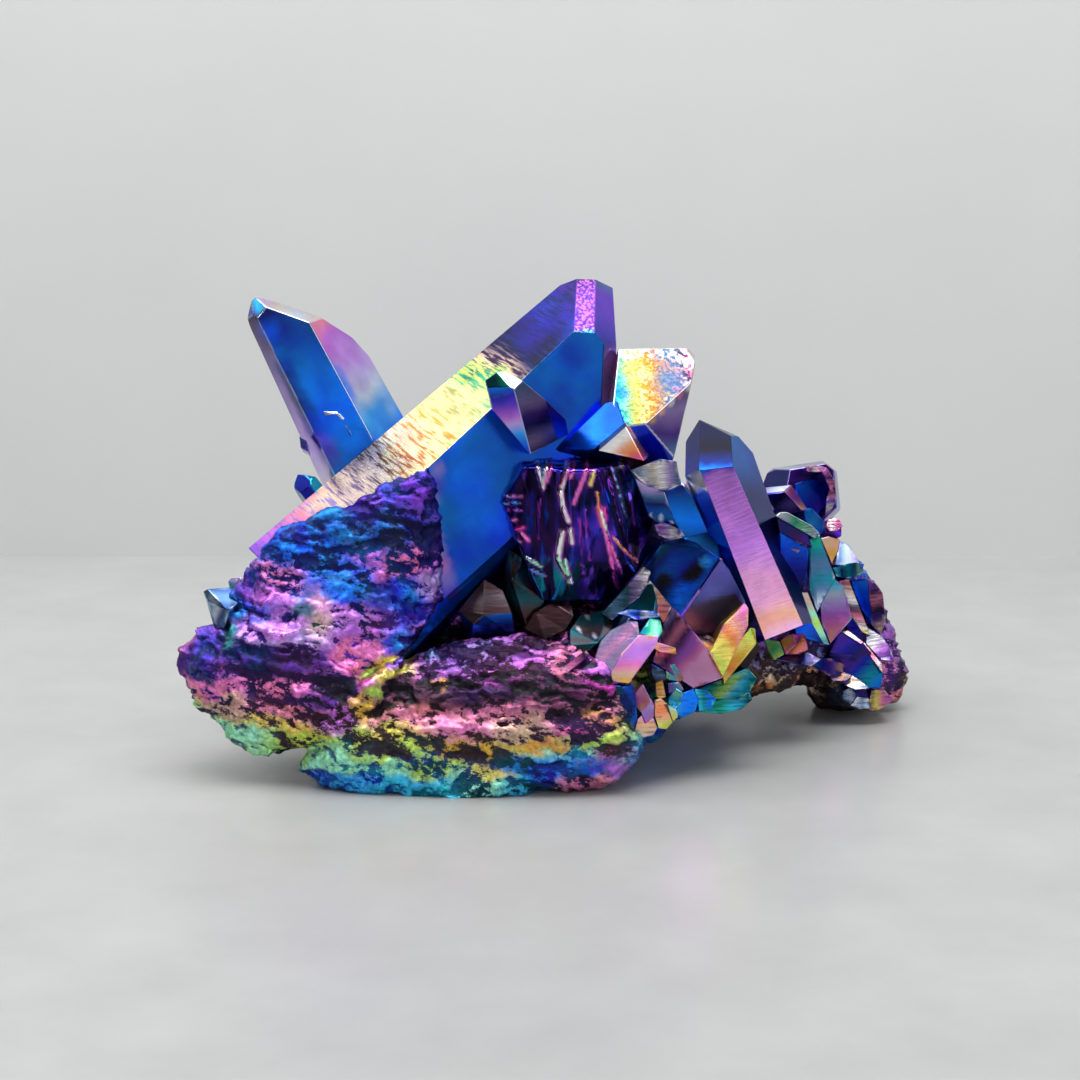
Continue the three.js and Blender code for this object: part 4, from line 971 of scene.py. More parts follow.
        (-29, 26.1, 45.9), (-27, 26.4, 45.8), (-27, 26.1, 45.5), (-28.8, 25.8, 45.3)], back=(0, 0.8, 0)),
    "glint_two": plate((-81, 30), across, "pearl white", "white", [
        (-27.1, 26.4, 45.8), (-26.1, 26, 44.8), (-26.4, 25.8, 44.6), (-27.3, 26.2, 45.5)], back=(0, 0.5, 0)),
    "glint_three": plate((-81, 30), down, "mist sky", "mist", [
        (-26.2, 26.7, 44.7), (-25.1, 25.6, 42.6), (-25.3, 25.6, 42.6), (-26.5, 26.5, 44.5)], back=(0, 0.5, 0)),
    "side_bump": plate((-120, 0), down, "slate violet", "slate", [
        (-31.8, 22.4, 43), (-30.8, 21.8, 42.5), (-30.5, 21.6, 40.9), (-31.6, 22.2, 41.4)]),
    "rib_one": plate((-110, 35), across, "pearl pink plum", "pearl", [
        (1.3, 4.6, 14.8), (2, 3.8, 14.2), (6.3, 4.7, 17.5), (5.8, 5.3, 18)]),
    "rib_two": plate((-110, 35), across, "pink mist plum", "pink", [
        (2.5, 4.1, 13.4), (3.3, 3.6, 13), (7.3, 4.6, 16.4), (6.8, 5.3, 17)]),
    "left_spike": plate((-90, 0), (1, 0, -0.5), "slate mist navy slate", "pearl", [
        (-43.6, 13.8, 23.8), (-42.9, 13.4, 24.2), (-39.6, 13, 24.5), (-38.6, 10.6, 22.8), (-42, 12, 19.3),
        (-40.5, 10.4, 19.7), (-39.7, 9.6, 22.2), (-42.9, 12.6, 22.9), (-40.5, 16, 22.2),
        (-42.4, 15, 19.5)], second=(0, 60, down, "navy slate navy")),
    "left_spike_small": plate((-90, 0), down, "lilac teal", "pearl", [
        (-40.4, 14, 25.1), (-40, 14, 25.5), (-38.5, 13, 25.8), (-38.6, 12.4, 24), (-40, 12.8, 24.2),
        (-39.7, 16, 24.6)], rear=None),
    # Crystals deep in the shade behind the front lobe: their dark colours are painted shade.
    "shaded_crystal_one": plate((-90, 30), down, "umber smoke umber", "pearl", [
        (-10.6, 14, 21.2), (-7.2, 15.5, 25.1), (-4.8, 15, 23.7), (-3.4, 14.6, 21), (-9.1, 13.6, 17.1),
        (-3.1, 13.6, 17.7), (-8.7, 12.4, 19.7), (-7.3, 12.2, 21),
        (-3.6, 13, 21.1)], second=(-90, -30, down, "lapis navy midnight")),
    "shaded_crystal_two": plate((-90, 0), down, "black pine umber black", "pearl", [
        (-4.2, 17, 28.9), (-2.1, 16.4, 27.7), (0.7, 15, 22.4), (-1.3, 14, 17.8), (-3.3, 14.8, 20.9),
        (-4.8, 15.6, 23.6), (-3.6, 14.4, 25.2)], rear=None),
    "shaded_crystal_three": plate((-90, 0), down, "umber umber black", "pearl", [
        (-2.1, 12.6, 19.2), (-0.6, 13.4, 21.2), (1.6, 13.8, 22.4), (4.1, 13.4, 22.1), (4.4, 12, 20.9),
        (3.3, 11, 19.3), (0.6, 10.6, 18.1)], rear=None),
    "shaded_crystal_four": plate((-90, 0), down, "pine pine umber pine", "pearl", [
        (3.8, 10.6, 19.4), (5.2, 12.4, 21), (9, 12.4, 21.8), (10, 10.6, 20.4), (7.4, 7.4, 18.5), (5.2, 7, 16.6),
        (3.8, 8.6, 17.9)], rear=None),
}


def addBlock(whole, spec):
    back = Vector(spec.get("back", blockSize["back"]))
    bm = bmesh.new()
    for corner in spec["corners"]:
        bm.verts.new(corner)
        bm.verts.new(Vector(corner) + back)
    made = bmesh.ops.convex_hull(bm, input=bm.verts[:])
    loose = {g for g in made["geom_interior"] + made["geom_unused"] if isinstance(g, bmesh.types.BMVert)}
    bmesh.ops.delete(bm, geom=list(loose), context="VERTS")
    bmesh.ops.dissolve_limit(bm, angle_limit=blockSize["flatAngle"], verts=bm.verts[:], edges=bm.edges[:])
    softenEdges(bm, blockSize["edge"], 1)
    flats = [(f.normal.copy(), f.calc_center_median()) for f in bm.faces
             if f.calc_area() > blockSize["leastArea"]]
    planes = {f"face{i}": (n, n.dot(c)) for i, (n, c) in enumerate(flats)}
    bmesh.ops.triangulate(bm, faces=[f for f in bm.faces if len(f.verts) > 4])
    for way in (up, across):
        sliceEvenly(bm, Vector(way), blockSize["step"])
    bm.verts.ensure_lookup_table()
    paint = {}
    for name, (normal, _) in planes.items():
        choice = max(spec["paint"], key=lambda p: direction(p[0], p[1]).dot(normal))
        paint[name] = (choice[2], choice[3], {"worn": [(spec.get("worn", blockSize["worn"]), 0)]})
    paint["rest"] = paint[next(iter(paint))]
    paintCrystal(bm, planes, paint, spec["edgeHighlightColour"], Vector(up), spec.get("spots", ()))
    for face in bm.faces:
        face.smooth = False
    addTo(whole, bm)


for name, group in (("right_end_blocks", rightEndBlocks), ("front_right_blocks", frontRightBlocks)):
    whole = paintedGroup()
    for spec in group.values():
        addBlock(whole, spec)
    finishPiece(name, whole, filmOnQuartz)
print("blocks made")

# The front of the rock: each mass is the hull of its corners, in mm, roughened.
rockMasses = {
    "upper left mass": {"rough": 0.26, "corners": [
        (-34.5, 10.5, 31), (-36, 11.5, 28.5), (-38, 12, 26.5), (-39.5, 12, 24), (-41, 11.5, 20), (-32.5, 10, 32),
        (-26.5, 11, 33.5), (-22.5, 12, 35), (-18.5, 13, 36.5), (-14, 14, 40), (-15.5, 14, 34.5), (-15, 13.5, 31.5),
        (-13, 13, 25), (-12.5, 13, 23), (-15, 11.5, 20), (-17.5, 8.5, 17), (-31, 8.5, 27.5), (-35, 8.5, 24),
        (-35, 7.5, 21.5), (-27.5, 6, 19), (-24.5, 6, 17), (-25, 9, 23.5), (-18, 11.5, 25), (-26.5, 5, 11.5),
        (-39.5, 9, 16), (-35, 24, 26), (-16, 24, 31.5), (-15.5, 22, 15.5), (-41.5, 22, 15.5),
    ]},
    "left lobe": {"rough": 0.32, "corners": [
        (-42.5, 13, 19), (-44.5, 12.5, 18), (-46.5, 12.5, 16), (-47, 12, 13.5), (-46, 11, 11.5), (-44.5, 10, 10),
        (-42, 9, 7.5), (-40.5, 9, 7), (-38.5, 8, 5), (-36.5, 7.5, 3.5), (-33, 7, 4), (-41.5, 9.5, 18),
        (-43.5, 8.5, 15.5), (-35, 7, 21), (-27.5, 5.5, 18), (-22, 4, 13.5), (-23.5, 3.5, 7.5), (-36.5, 5, 11),
        (-30, 4, 12), (-30.5, 4.5, 6), (-41.5, 22, 15.5), (-45.5, 18, 11), (-32, 20, 5), (-24, 20, 7.5),
        (-33.5, 14, 3),
    ]},
    "front lobe": {"rough": 0.32, "corners": [
        (-16, 8.5, 15.5), (-13, 10.5, 17), (-7.5, 11.5, 18), (-2.5, 12, 18.5), (3.5, 12, 19), (-18.5, 5.5, 15),
        (-7.5, 4.5, 13.5), (2.5, 4, 14.5), (8, 4, 15.5), (-22, 2.5, 7), (-11, 1, 9), (0, 0.5, 8.5), (9, 1, 7.5),
        (13, 3.5, 6.5), (12, 3.5, 3.5), (9, 3, 1.5), (-31, 6, 3), (-29.5, 5.5, 1.5), (-28, 4.5, 0.5),
        (-24.5, 3.5, 0), (-19.5, 2, 0), (-11.5, 1, -0.5), (-6.5, 1.5, 0), (1, 2, 0.5), (7.5, 3, 1), (-26.5, 3.5, 6),
        (-27.5, 14, -1.5), (10.5, 14, -0.5), (-16, 16, -3.5), (2.5, 16, -3), (-16, 24, 14.5), (8, 24, 14.5),
        (14, 16, 3.5),
    ]},
    "wedge": {"rough": 0.2, "corners": [
        (-17, 6, 17), (-21.5, 3, 14), (-23, 2, 12), (-22.5, 1.5, 6.5), (-24.5, 2.5, 3), (-26.5, 3.5, 7.5),
        (-19.5, 4, 9.5), (-28, 5, 11.5), (-18, 14, 14.5), (-25, 12, 0.5), (-27.5, 14, 10.5),
    ]},
}
# The rest of it: lumps given by centre, radii, turn and tilt in degrees, and roughness.
rockLumps = [
    ([1, 23, 8.5], [20, 10.6, 8], 12, 0, 0.6), ([20, 24.5, 11.4], [9.4, 8.6, 5.4], 40, 0, 0.6),
    ([29, 36, 12.6], [9.6, 10, 7.6], 40, 0, 0.7), ([39.6, 50, 13.4], [8.4, 7.2, 9], 20, 0, 0.7),
    ([38, 41.5, 9.4], [9.6, 5.4, 4.4], 27, -6, 0.6), ([47.6, 45.8, 7], [5, 4.8, 7.6], 0, 18, 0.5),
    ([44.8, 44.4, 4], [5.2, 4.6, 4.2], 20, 0, 0.5), ([-1, 39, 12], [19, 12, 12.2], 8, 0, 1),
    ([-22, 29, 17], [13.6, 12, 11.4], -10, 8, 0.9), ([22, 44, 14], [15, 10, 10], 15, 0, 0.9),
]
rock = {
    "blockiness": 0.72, "squaredScale": 0.97, "frontGrid": 0.33, "backGrid": 0.5, "massCuts": 6, "lumpCuts": 5,
    "smoothing": 0.5, "relief": 0.8, "sink": 0.1,
    "frontZones": 0.03, "backZones": 0.3,  # weight of the colour zones against that of the patches
}
# Sizes in mm, and strengths, of the shapes that the roughness is made of.
rockForm = {
    "swellMm": (8, 8, 6.5), "swell": 1.9, "ribMm": (5.6, 5.6, 3.6), "rib": 1.1, "lumpMm": (2.6, 2.6, 2.1),
    "lump": 1.1,
    "warpMm": (3, 3, 2.4), "warp": 0.9, "slope": 0.18, "plateMm": (3.2, 3.2, 1.7), "plate": 0.45,
    "chipMm": (1.3, 1.3, 0.8), "chip": 0.3, "flakeMm": (4.6, 4.6, 1.5), "flake": 0.35,
    "gritMm": (0.8, 0.8, 0.5), "grit": 0.12, "plateLift": 0.6, "plateTilt": 0.9,
}
farAway = 1e9


def gridValue(x, y, z):
    # a fixed value from 0 to 1 for each point of a grid
    wave = np.sin(x * 127.1 + y * 311.7 + z * 74.7) * 43758.5453
    return wave - np.floor(wave)


def smoothNoise(p, scale, shift=(0, 0, 0)):
    # the same noise as the solid rock has, for a whole array of points; shift picks another part of it
    q = p / np.array(scale) + np.array(shift)
    cell = np.floor(q)
    part = q - cell
    part = part * part * (3 - 2 * part)
    total = np.zeros(len(p))
    for corner in range(8):
        step = np.array([corner & 1, (corner >> 1) & 1, (corner >> 2) & 1])
        weight = np.prod(np.where(step == 1, part, 1 - part), axis=1)
        total += weight * gridValue(*(cell + step).T)
    return total * 2 - 1


def rockHeight(p):
    swell = smoothNoise(p, rockForm["swellMm"])
    rib = 1 - 2 * np.abs(smoothNoise(p, rockForm["ribMm"], (9, 0, 5)))
    lump = smoothNoise(p, rockForm["lumpMm"], (40, 0, 0))
    return rockForm["swell"] * swell + rockForm["rib"] * rib + rockForm["lump"] * lump


def gridVectors(corner, shifts):
    return np.stack([gridValue(*(corner + shift).T) for shift in shifts], axis=1)


def brokenFacets(p, cell, seed):
    # each cell is a little tilted plate: gives the height on the nearest plate
    q = p / np.array(cell)
    base = np.floor(q)
    best = np.full(len(p), farAway)
    height = np.zeros(len(p))
    near = (-1, 0, 1)
    for step in ((i, j, k) for i in near for j in near for k in near):
        corner = base + step
        away = q - corner - gridVectors(corner + seed, (0.13, 5.7, 9.1))
        distance = (away * away).sum(axis=1)
        lean = gridVectors(corner + seed, (15.3, 21.7, 33.9)) * 2 - 1
        lift = gridValue(*(corner + seed + 41.3).T) * 2 - 1
        nearer = distance < best
        best = np.where(nearer, distance, best)
        tilted = rockForm["plateLift"] * lift + rockForm["plateTilt"] * (away * lean).sum(axis=1)
        height = np.where(nearer, tilted, height)
    return height


def rockRelief(p):
    # broken plates of two sizes with sharp crests between them, about -1 to 1
    warp = np.stack([smoothNoise(p, rockForm["warpMm"], (3, 8, k)) for k in (1, 5, 9)], axis=1)
    q = p + rockForm["warp"] * warp
    q[:, 2] += rockForm["slope"] * q[:, 0]
    large = brokenFacets(q, rockForm["plateMm"], 3)
    small = brokenFacets(q, rockForm["chipMm"], 11)
    flake = 1 - 2 * np.abs(smoothNoise(q, rockForm["flakeMm"], (17, 3, 2)))
    grit = smoothNoise(q, rockForm["gritMm"], (11, 2, 23))
    return (rockForm["plate"] * large + rockForm["chip"] * small + rockForm["flake"] * flake
            + rockForm["grit"] * grit)


def lumpBody(ball, lump):
    centre, radii, turn, tilt, rough = lump
    about = Euler((0, math.radians(-tilt), math.radians(turn)), "XYZ").to_matrix()
    outward = ball / np.array(radii)
    outward /= np.linalg.norm(outward, axis=1)[:, None]
    body = np.sign(ball) * np.abs(ball) ** rock["blockiness"] * rock["squaredScale"] * np.array(radii)
    spin = np.array(about)
    body = body @ spin.T + np.array(centre)
    outward = outward @ spin.T
    return body + outward * (rough * rockHeight(body))[:, None]


def massBody(ball, mass):
    # each point of the ball goes out to the hull of the corners
    hull = bmesh.new()
    for corner in mass["corners"]:
        hull.verts.new(corner)
    bmesh.ops.convex_hull(hull, input=hull.verts[:])
    bmesh.ops.recalc_face_normals(hull, faces=hull.faces[:])
    normals = np.array([f.normal[:] for f in hull.faces])
    offsets = np.array([f.normal.dot(f.verts[0].co) for f in hull.faces])
    hull.free()
    centre = np.array(mass["corners"]).mean(axis=0)
    facing = ball @ normals.T
    ahead = 1e-4  # a hull face turned further away than this isn't met
    reach = np.where(facing > ahead, (offsets - normals @ centre) / np.maximum(facing, ahead), farAway)
    body = centre + ball * reach.min(axis=1)[:, None]
    outward = normals[reach.argmin(axis=1)]
    return body + outward * (mass["rough"] * rockHeight(body))[:, None]


def rockBase(lumps, shapeBody, cuts, grid):
    # all lumps joined into one closed skin
    whole = bmesh.new()
    for lump in lumps:
        ball = bmesh.new()
        bmesh.ops.create_icosphere(ball, subdivisions=cuts, radius=1.0)
        body = shapeBody(np.array([v.co[:] for v in ball.verts]), lump)
        for vertex, place in zip(ball.verts, body):
            vertex.co = place
        addTo(whole, ball)
    mesh = bpy.data.meshes.new("rock")
    whole.to_mesh(mesh)
    whole.free()
    block = bpy.data.objects.new("rock", mesh)
    scene.collection.objects.link(block)
    remesh = block.modifiers.new("join", "REMESH")
    remesh.mode = "VOXEL"
    remesh.voxel_size = grid
    joined = bpy.data.meshes.new_from_object(block.evaluated_get(bpy.context.evaluated_depsgraph_get()))
    bpy.data.objects.remove(block)
    return joined


# Height of the lower rim of the rock along the cluster, and how far above it the yellow band lies.
rockRim = {
    "x": [-48, -43, -36, -27, 8, 14, 24, 34, 42, 48, 54],
    "height": [13, 8.3, 3.4, 0.6, 0.6, 3, 5.5, 6.5, 4.5, 1, 1.5],
    "bandX": [-40, -30, -22, 6, 12, 30],
    "band": [1.5, 4, 8.6, 8.2, 5, 3],
}
# Film colours by height in mm above (or below) the yellow band: on the crests, in the hollows, and how
# much the hollows show. The dark hollow colours are partly film and partly painted shade in the pits.
rockZones = {
    "left": [(-6, "cyan", "teal", 0.5), (-2.5, "mint", "pine", 0.48), (0, "lime", "umber", 0.5),
        (1.5, "gold", "plum", 0.5), (3.2, "rose", "plum", 0.5), (6, "pink", "purple", 0.5),
        (10, "orchid", "plum", 0.55), (14, "lilac", "purple", 0.52), (17, "orchid", "indigo", 0.55),
        (20, "lilac", "cobalt", 0.6), (24, "violet", "cobalt", 0.66), (28, "azure", "ink", 0.6)],
    "front": [(-9, "sky", "teal", 0.45), (-5, "cyan", "azure", 0.45), (-2.5, "mint", "teal", 0.5),
        (-1, "lime", "pine", 0.5), (0.4, "yellow", "umber", 0.52), (2, "gold", "umber", 0.55),
        (3.6, "rose", "plum", 0.5), (5, "magenta", "black", 0.6), (7, "magenta", "black", 0.66),
        (8.6, "orchid", "plum", 0.55), (10.5, "pink", "plum", 0.56), (13, "magenta", "plum", 0.6),
        (16, "violet", "navy", 0.6)],
    "middle": [(-4, "sky", "azure", 0.5), (-1, "cyan", "teal", 0.55), (1, "green", "pine", 0.5),
        (3, "teal", "pine", 0.5), (5, "lime", "pine", 0.5), (7, "peach", "plum", 0.55), (10, "slate", "plum", 0.6),
        (14, "azure", "navy", 0.62), (18, "mauve", "ink", 0.62)],
    "right": [(-3, "champagne", "umber", 0.6), (-1, "amber", "black", 0.58), (0.5, "champagne", "umber", 0.6),
        (2, "mauve", "umber", 0.62), (3.6, "slate", "plum", 0.62), (5.5, "orchid", "purple", 0.6),
        (8, "orchid", "plum", 0.6), (11, "lilac", "purple", 0.62), (17, "azure", "purple", 0.5)],
}
zoneEdges = [("left", -60, -24), ("front", -24, 11), ("middle", 11, 27), ("right", 27, 70)]
# Patches of film on the front: centre (x, z), reach (x, z) in mm, crest colour, hollow colour, share of hollow.
# The black, maroon and plum hollow colours are partly painted shade in the pits.
rockPatches = [
    (-24.8, 33, 7.8, 2, "lapis", "navy", 0.6), (-30.5, 30.6, 4.3, 1.8, "azure", "navy", 0.58),
    (-26.6, 28.2, 5.7, 2, "azure", "navy", 0.54), (-19.8, 32.2, 4.3, 2.3, "lapis", "midnight", 0.58),
    (-17.9, 28.5, 3, 1.5, "pink", "navy", 0.57), (-21.4, 29.2, 3, 1.3, "orchid", "lapis", 0.56),
    (-16.7, 23.2, 2.8, 2.5, "azure", "ink", 0.55), (-14.1, 25, 1.5, 1.8, "lilac", "indigo", 0.45),
    (-19.7, 23.7, 2.8, 1.8, "indigo", "ink", 0.5), (-25.3, 25.1, 3.8, 1.3, "azure", "navy", 0.53),
    (-23.7, 22.5, 3.8, 1.3, "heather", "navy", 0.57), (-22.7, 19.8, 3.3, 1.5, "orchid", "plum", 0.58),
    (-18.3, 18.9, 2.3, 1.8, "azure", "purple", 0.5), (-32.2, 27.1, 2.8, 1.5, "pink", "navy", 0.54),
    (-37, 24.7, 2.3, 2.3, "indigo", "ink", 0.5), (-35.3, 24.7, 2.8, 1, "orchid", "purple", 0.42),
    (-38.2, 22.1, 3.3, 1.8, "azure", "navy", 0.55), (-30.3, 22.5, 1.1, 1.5, "slate", "pine", 0.5),
    (-28.7, 21.2, 1.5, 1.5, "champagne", "pine", 0.5), (-28.1, 23.9, 1, 1.8, "blush", "indigo", 0.42),
    (-39.6, 18.7, 1, 1.5, "teal", "pine", 0.55), (-42.8, 16.5, 2.8, 2.8, "indigo", "navy", 0.55),
    (-45.8, 14.3, 1.5, 2.3, "purple", "ink", 0.5), (-34.1, 20.5, 6.6, 0.9, "heather", "purple", 0.44),
    (-37.4, 17, 5.1, 1.1, "purple", "navy", 0.62), (-31.6, 16.3, 5.8, 1.5, "purple", "plum", 0.6),
    (-23.3, 17, 3, 1.8, "pink", "violet", 0.46), (-43.4, 12.4, 3.8, 1, "pink", "purple", 0.4),
    (-35.3, 13.2, 5.8, 1, "pink", "plum", 0.45), (-40.1, 10, 3.3, 1.3, "champagne", "plum", 0.42),
    (-33.3, 10.3, 4.6, 1.3, "rose", "maroon", 0.5), (-26.3, 12.8, 3, 1.8, "purple", "black", 0.62),
    (-25.1, 9.5, 2.8, 1.5, "orchid", "umber", 0.55), (-37.8, 6.6, 3.5, 1.5, "mint", "slate", 0.4),
    (-32.3, 6.4, 3.3, 1.1, "lime", "umber", 0.45), (-34.1, 8.3, 3.8, 1, "yellow", "umber", 0.5),
    (-18.4, 15.4, 1.9, 0.8, "yellow", "umber", 0.42), (-21.2, 14, 1, 0.9, "lime", "umber", 0.42),
    (-22.5, 11, 0.8, 2.2, "gold", "umber", 0.46), (-22.8, 7.8, 0.9, 1.8, "lime", "umber", 0.5),
    (-15.1, 12.6, 5.8, 2, "maroon", "black", 0.68), (-7.5, 12.9, 7.6, 1.8, "plum", "black", 0.62),
    (1.3, 13.2, 5.6, 2.3, "maroon", "black", 0.6), (-12.1, 16.9, 3.8, 1.1, "slate", "plum", 0.62),
    (-7.7, 17.2, 5.1, 1.1, "mauve", "plum", 0.62), (-2.6, 16.9, 5.1, 1.5, "orchid", "maroon", 0.64),
    (2.5, 16.7, 2.8, 2, "rose", "plum", 0.62), (-11.4, 15.5, 3.8, 1, "orchid", "plum", 0.6),
    (-12.5, 13.8, 1.3, 0.9, "gold", "umber", 0.5), (-13.7, 10.1, 5.1, 1.1, "rose", "maroon", 0.48),
    (-6.2, 10.8, 4.3, 1.3, "rose", "maroon", 0.54), (-8.7, 8.7, 4.3, 1.1, "pink", "umber", 0.48),
    (-17.5, 9.6, 3.8, 1, "rose", "maroon", 0.58), (-20, 7.9, 2.8, 1.3, "yellow", "umber", 0.58),
    (-18.2, 5.7, 4.6, 1, "lime", "umber", 0.54), (-8.7, 5.8, 5.1, 1.5, "gold", "umber", 0.55),
    (-2.5, 8.9, 5.1, 1.5, "champagne", "maroon", 0.53), (3.7, 8.8, 3.8, 1.8, "magenta", "plum", 0.62),
    (0, 7.1, 3.8, 0.8, "gold", "umber", 0.4), (6.3, 7.5, 3.3, 0.9, "lime", "plum", 0.5),
    (9.4, 5.6, 2, 1.3, "magenta", "umber", 0.5), (-26.5, 4.1, 2.5, 1.5, "mint", "slate", 0.45),
    (-21.4, 3.3, 4.3, 1.1, "mint", "teal", 0.48), (-13.8, 3.6, 4.3, 0.9, "lime", "pine", 0.52),
    (-6.3, 3.3, 2.5, 0.8, "yellow", "umber", 0.46), (-25.3, 1.4, 5.1, 1.3, "sky", "lapis", 0.47),
    (-19.5, 1.1, 3.8, 1.3, "cyan", "lapis", 0.5), (-12.6, 1, 4.3, 1.1, "cyan", "teal", 0.5),
    (-7.5, 1.4, 3.3, 1.5, "mint", "pine", 0.5), (-1.3, 4.4, 3.3, 1, "azure", "pine", 0.52),
    (-3.2, 1.1, 3.3, 1, "cyan", "pine", 0.52), (1.9, 3.3, 3.3, 1.5, "azure", "indigo", 0.5),
    (6.3, 3.7, 3.3, 1, "violet", "azure", 0.5), (5.7, 1.2, 4.3, 1, "rose", "plum", 0.45),
    (10.1, 3, 2, 1.3, "orchid", "mauve", 0.45),
]
# The same for the right end, where the film is purple with bright grains.
endPatches = [
    (48.5, 12, 3, 4, "orchid", "plum", 0.5), (50, 7, 2.5, 4, "pink", "purple", 0.52),
    (50.5, 3, 2.5, 3, "rose", "plum", 0.5), (47, 3, 2, 2.5, "slate", "navy", 0.52),
    (44, 4, 2.4, 2.5, "champagne", "slate", 0.5), (41, 5.5, 3, 2, "champagne", "umber", 0.48),
    (37, 7.5, 3, 1.6, "peach", "umber", 0.5), (36, 10.5, 4, 1.6, "slate", "plum", 0.55),
    (32, 9.5, 3, 1.6, "champagne", "black", 0.52), (30, 7.5, 2.5, 1.4, "amber", "umber", 0.5),
    (31, 12, 4, 1.6, "mauve", "umber", 0.56), (24.5, 10, 3, 3, "green", "pine", 0.52),
    (19, 9, 3, 2.6, "cyan", "teal", 0.5), (22, 6, 3, 1.6, "teal", "azure", 0.55),
    (42, 13, 3, 2.5, "violet", "ink", 0.6),
]
rockFilm = {
    "waverMm": (7, 7, 4), "waver": 1.5, "raggedMm": (2.4, 2.4, 1.2), "ragged": 0.9, "reliefShift": 0.5,
    "zoneBlend": 4,
    "patchEdgeMm": (3, 3, 2), "patchGritMm": (1.1, 1.1, 0.8), "patchGrit": 0.6, "patchFall": 2.2,
    "crestLit": 0.26, "topLit": 0.1, "topFrom": 0.15, "grainSlope": 0.16,
}


def paintRock(bm, co, normal, relief, patches, zoneShare):
    # the zones lie under the patches, which cover most of them
    coating, hollow, growth, worn = addLayers(bm)
    x, z = co[:, 0], co[:, 2]
    rim = np.interp(x, rockRim["x"], rockRim["height"]) + np.interp(x, rockRim["bandX"], rockRim["band"])
    level = (z - rim + rockFilm["waver"] * smoothNoise(co, rockFilm["waverMm"], (2, 2, 9))
             + rockFilm["ragged"] * smoothNoise(co, rockFilm["raggedMm"], (8, 1, 4))
             + rockFilm["reliefShift"] * relief)
    high, low, hollowShown, total = 0, 0, 0, 0
    blend = rockFilm["zoneBlend"]
    for name, start, end in zoneEdges:
        stops = rockZones[name]
        heights = [s[0] for s in stops]
        weight = np.clip((x - start) / blend + 0.5, 0, 1) * np.clip((end - x) / blend + 0.5, 0, 1) + tiny
        total = total + weight
        crests, hollows = (np.stack([np.interp(level, heights, [film[s[j]][c] for s in stops]) for c in range(3)],
                                    axis=1) for j in (1, 2))
        high = high + crests * weight[:, None]
        low = low + hollows * weight[:, None]
        hollowShown = hollowShown + np.interp(level, heights, [s[3] for s in stops]) * weight
    high, low, hollowShown = high / total[:, None], low / total[:, None], hollowShown / total
    ragged = [smoothNoise(co, rockFilm["patchEdgeMm"], (3, 5, k))
              + smoothNoise(co, rockFilm["patchGritMm"], (7, 5, k)) * rockFilm["patchGrit"] for k in (1, 9)]
    high, low, hollowShown, total = high * zoneShare, low * zoneShare, hollowShown * zoneShare, np.full(len(co), zoneShare)
    for centreX, centreZ, reachX, reachZ, crest, pit, share in patches:
        away = ((x + ragged[0] - centreX) / reachX) ** 2 + ((z + ragged[1] - centreZ) / reachZ) ** 2
        weight = np.exp(-rockFilm["patchFall"] * away)
        high, low = high + film[crest] * weight[:, None], low + film[pit] * weight[:, None]
        hollowShown, total = hollowShown + share * weight, total + weight
    high, low, hollowShown = high / total[:, None], low / total[:, None], hollowShown / total
    # crests and surfaces that face up show less of the darker hollow colour, so the pits and lower sides keep a
    # painted shade
    hollowShown = hollowShown - rockFilm["crestLit"] * relief - rockFilm["topLit"] * (normal[:, 2] - rockFilm["topFrom"])
    for vertex, place, crest, pit, share in zip(bm.verts, co, high, low, hollowShown):
        vertex[coating] = (*crest, 1.0)
        vertex[hollow] = (*pit, 1.0)
        vertex[growth] = (place[0], place[1], place[2] + rockFilm["grainSlope"] * place[0])
        vertex[worn] = share


def matrixRock(name, base, patches, zoneShare):
    bm = bmesh.new()
    bm.from_mesh(base)
    bmesh.ops.smooth_vert(bm, verts=bm.verts[:], factor=rock["smoothing"], use_axis_x=True, use_axis_y=True,
                          use_axis_z=True)
    bm.normal_update()
    co = np.array([v.co[:] for v in bm.verts])
    normal = np.array([v.normal[:] for v in bm.verts])
    relief = rockRelief(co)
    co = co + normal * (relief * rock["relief"] - rock["sink"])[:, None]
    co[:, 2] = np.maximum(co[:, 2], 0.0)
    for vertex, place in zip(bm.verts, co):
        vertex.co = place
    bm.normal_update()
    normal = np.array([v.normal[:] for v in bm.verts])
    paintRock(bm, co, normal, relief, patches, zoneShare)
    for face in bm.faces:
        face.smooth = True
    piece = finishPiece(name, bm, filmOnRock)
    print(name, "triangles", sum(len(p.vertices) - 2 for p in piece.data.polygons))
    return piece


frontRock = rockBase(rockMasses.values(), massBody, rock["massCuts"], rock["frontGrid"])
matrixRock("matrix_rock_front", frontRock, rockPatches, rock["frontZones"])
backRock = rockBase(rockLumps, lumpBody, rock["lumpCuts"], rock["backGrid"])
matrixRock("matrix_rock_back", backRock, endPatches, rock["backZones"])
print("rock made")

stage = {
    "floor": "#acadac", "wall": "#d5d6d5", "wallAway": 134, "wallFoot": -60, "wallTop": 900, "width": 1200,
    "front": -700, "roughness": 0.32, "gloss": 0.5, "fleckMm": 14, "fleck": 0.06, "wallFleckMm": 60,
    "wallFleck": 0.02,
}


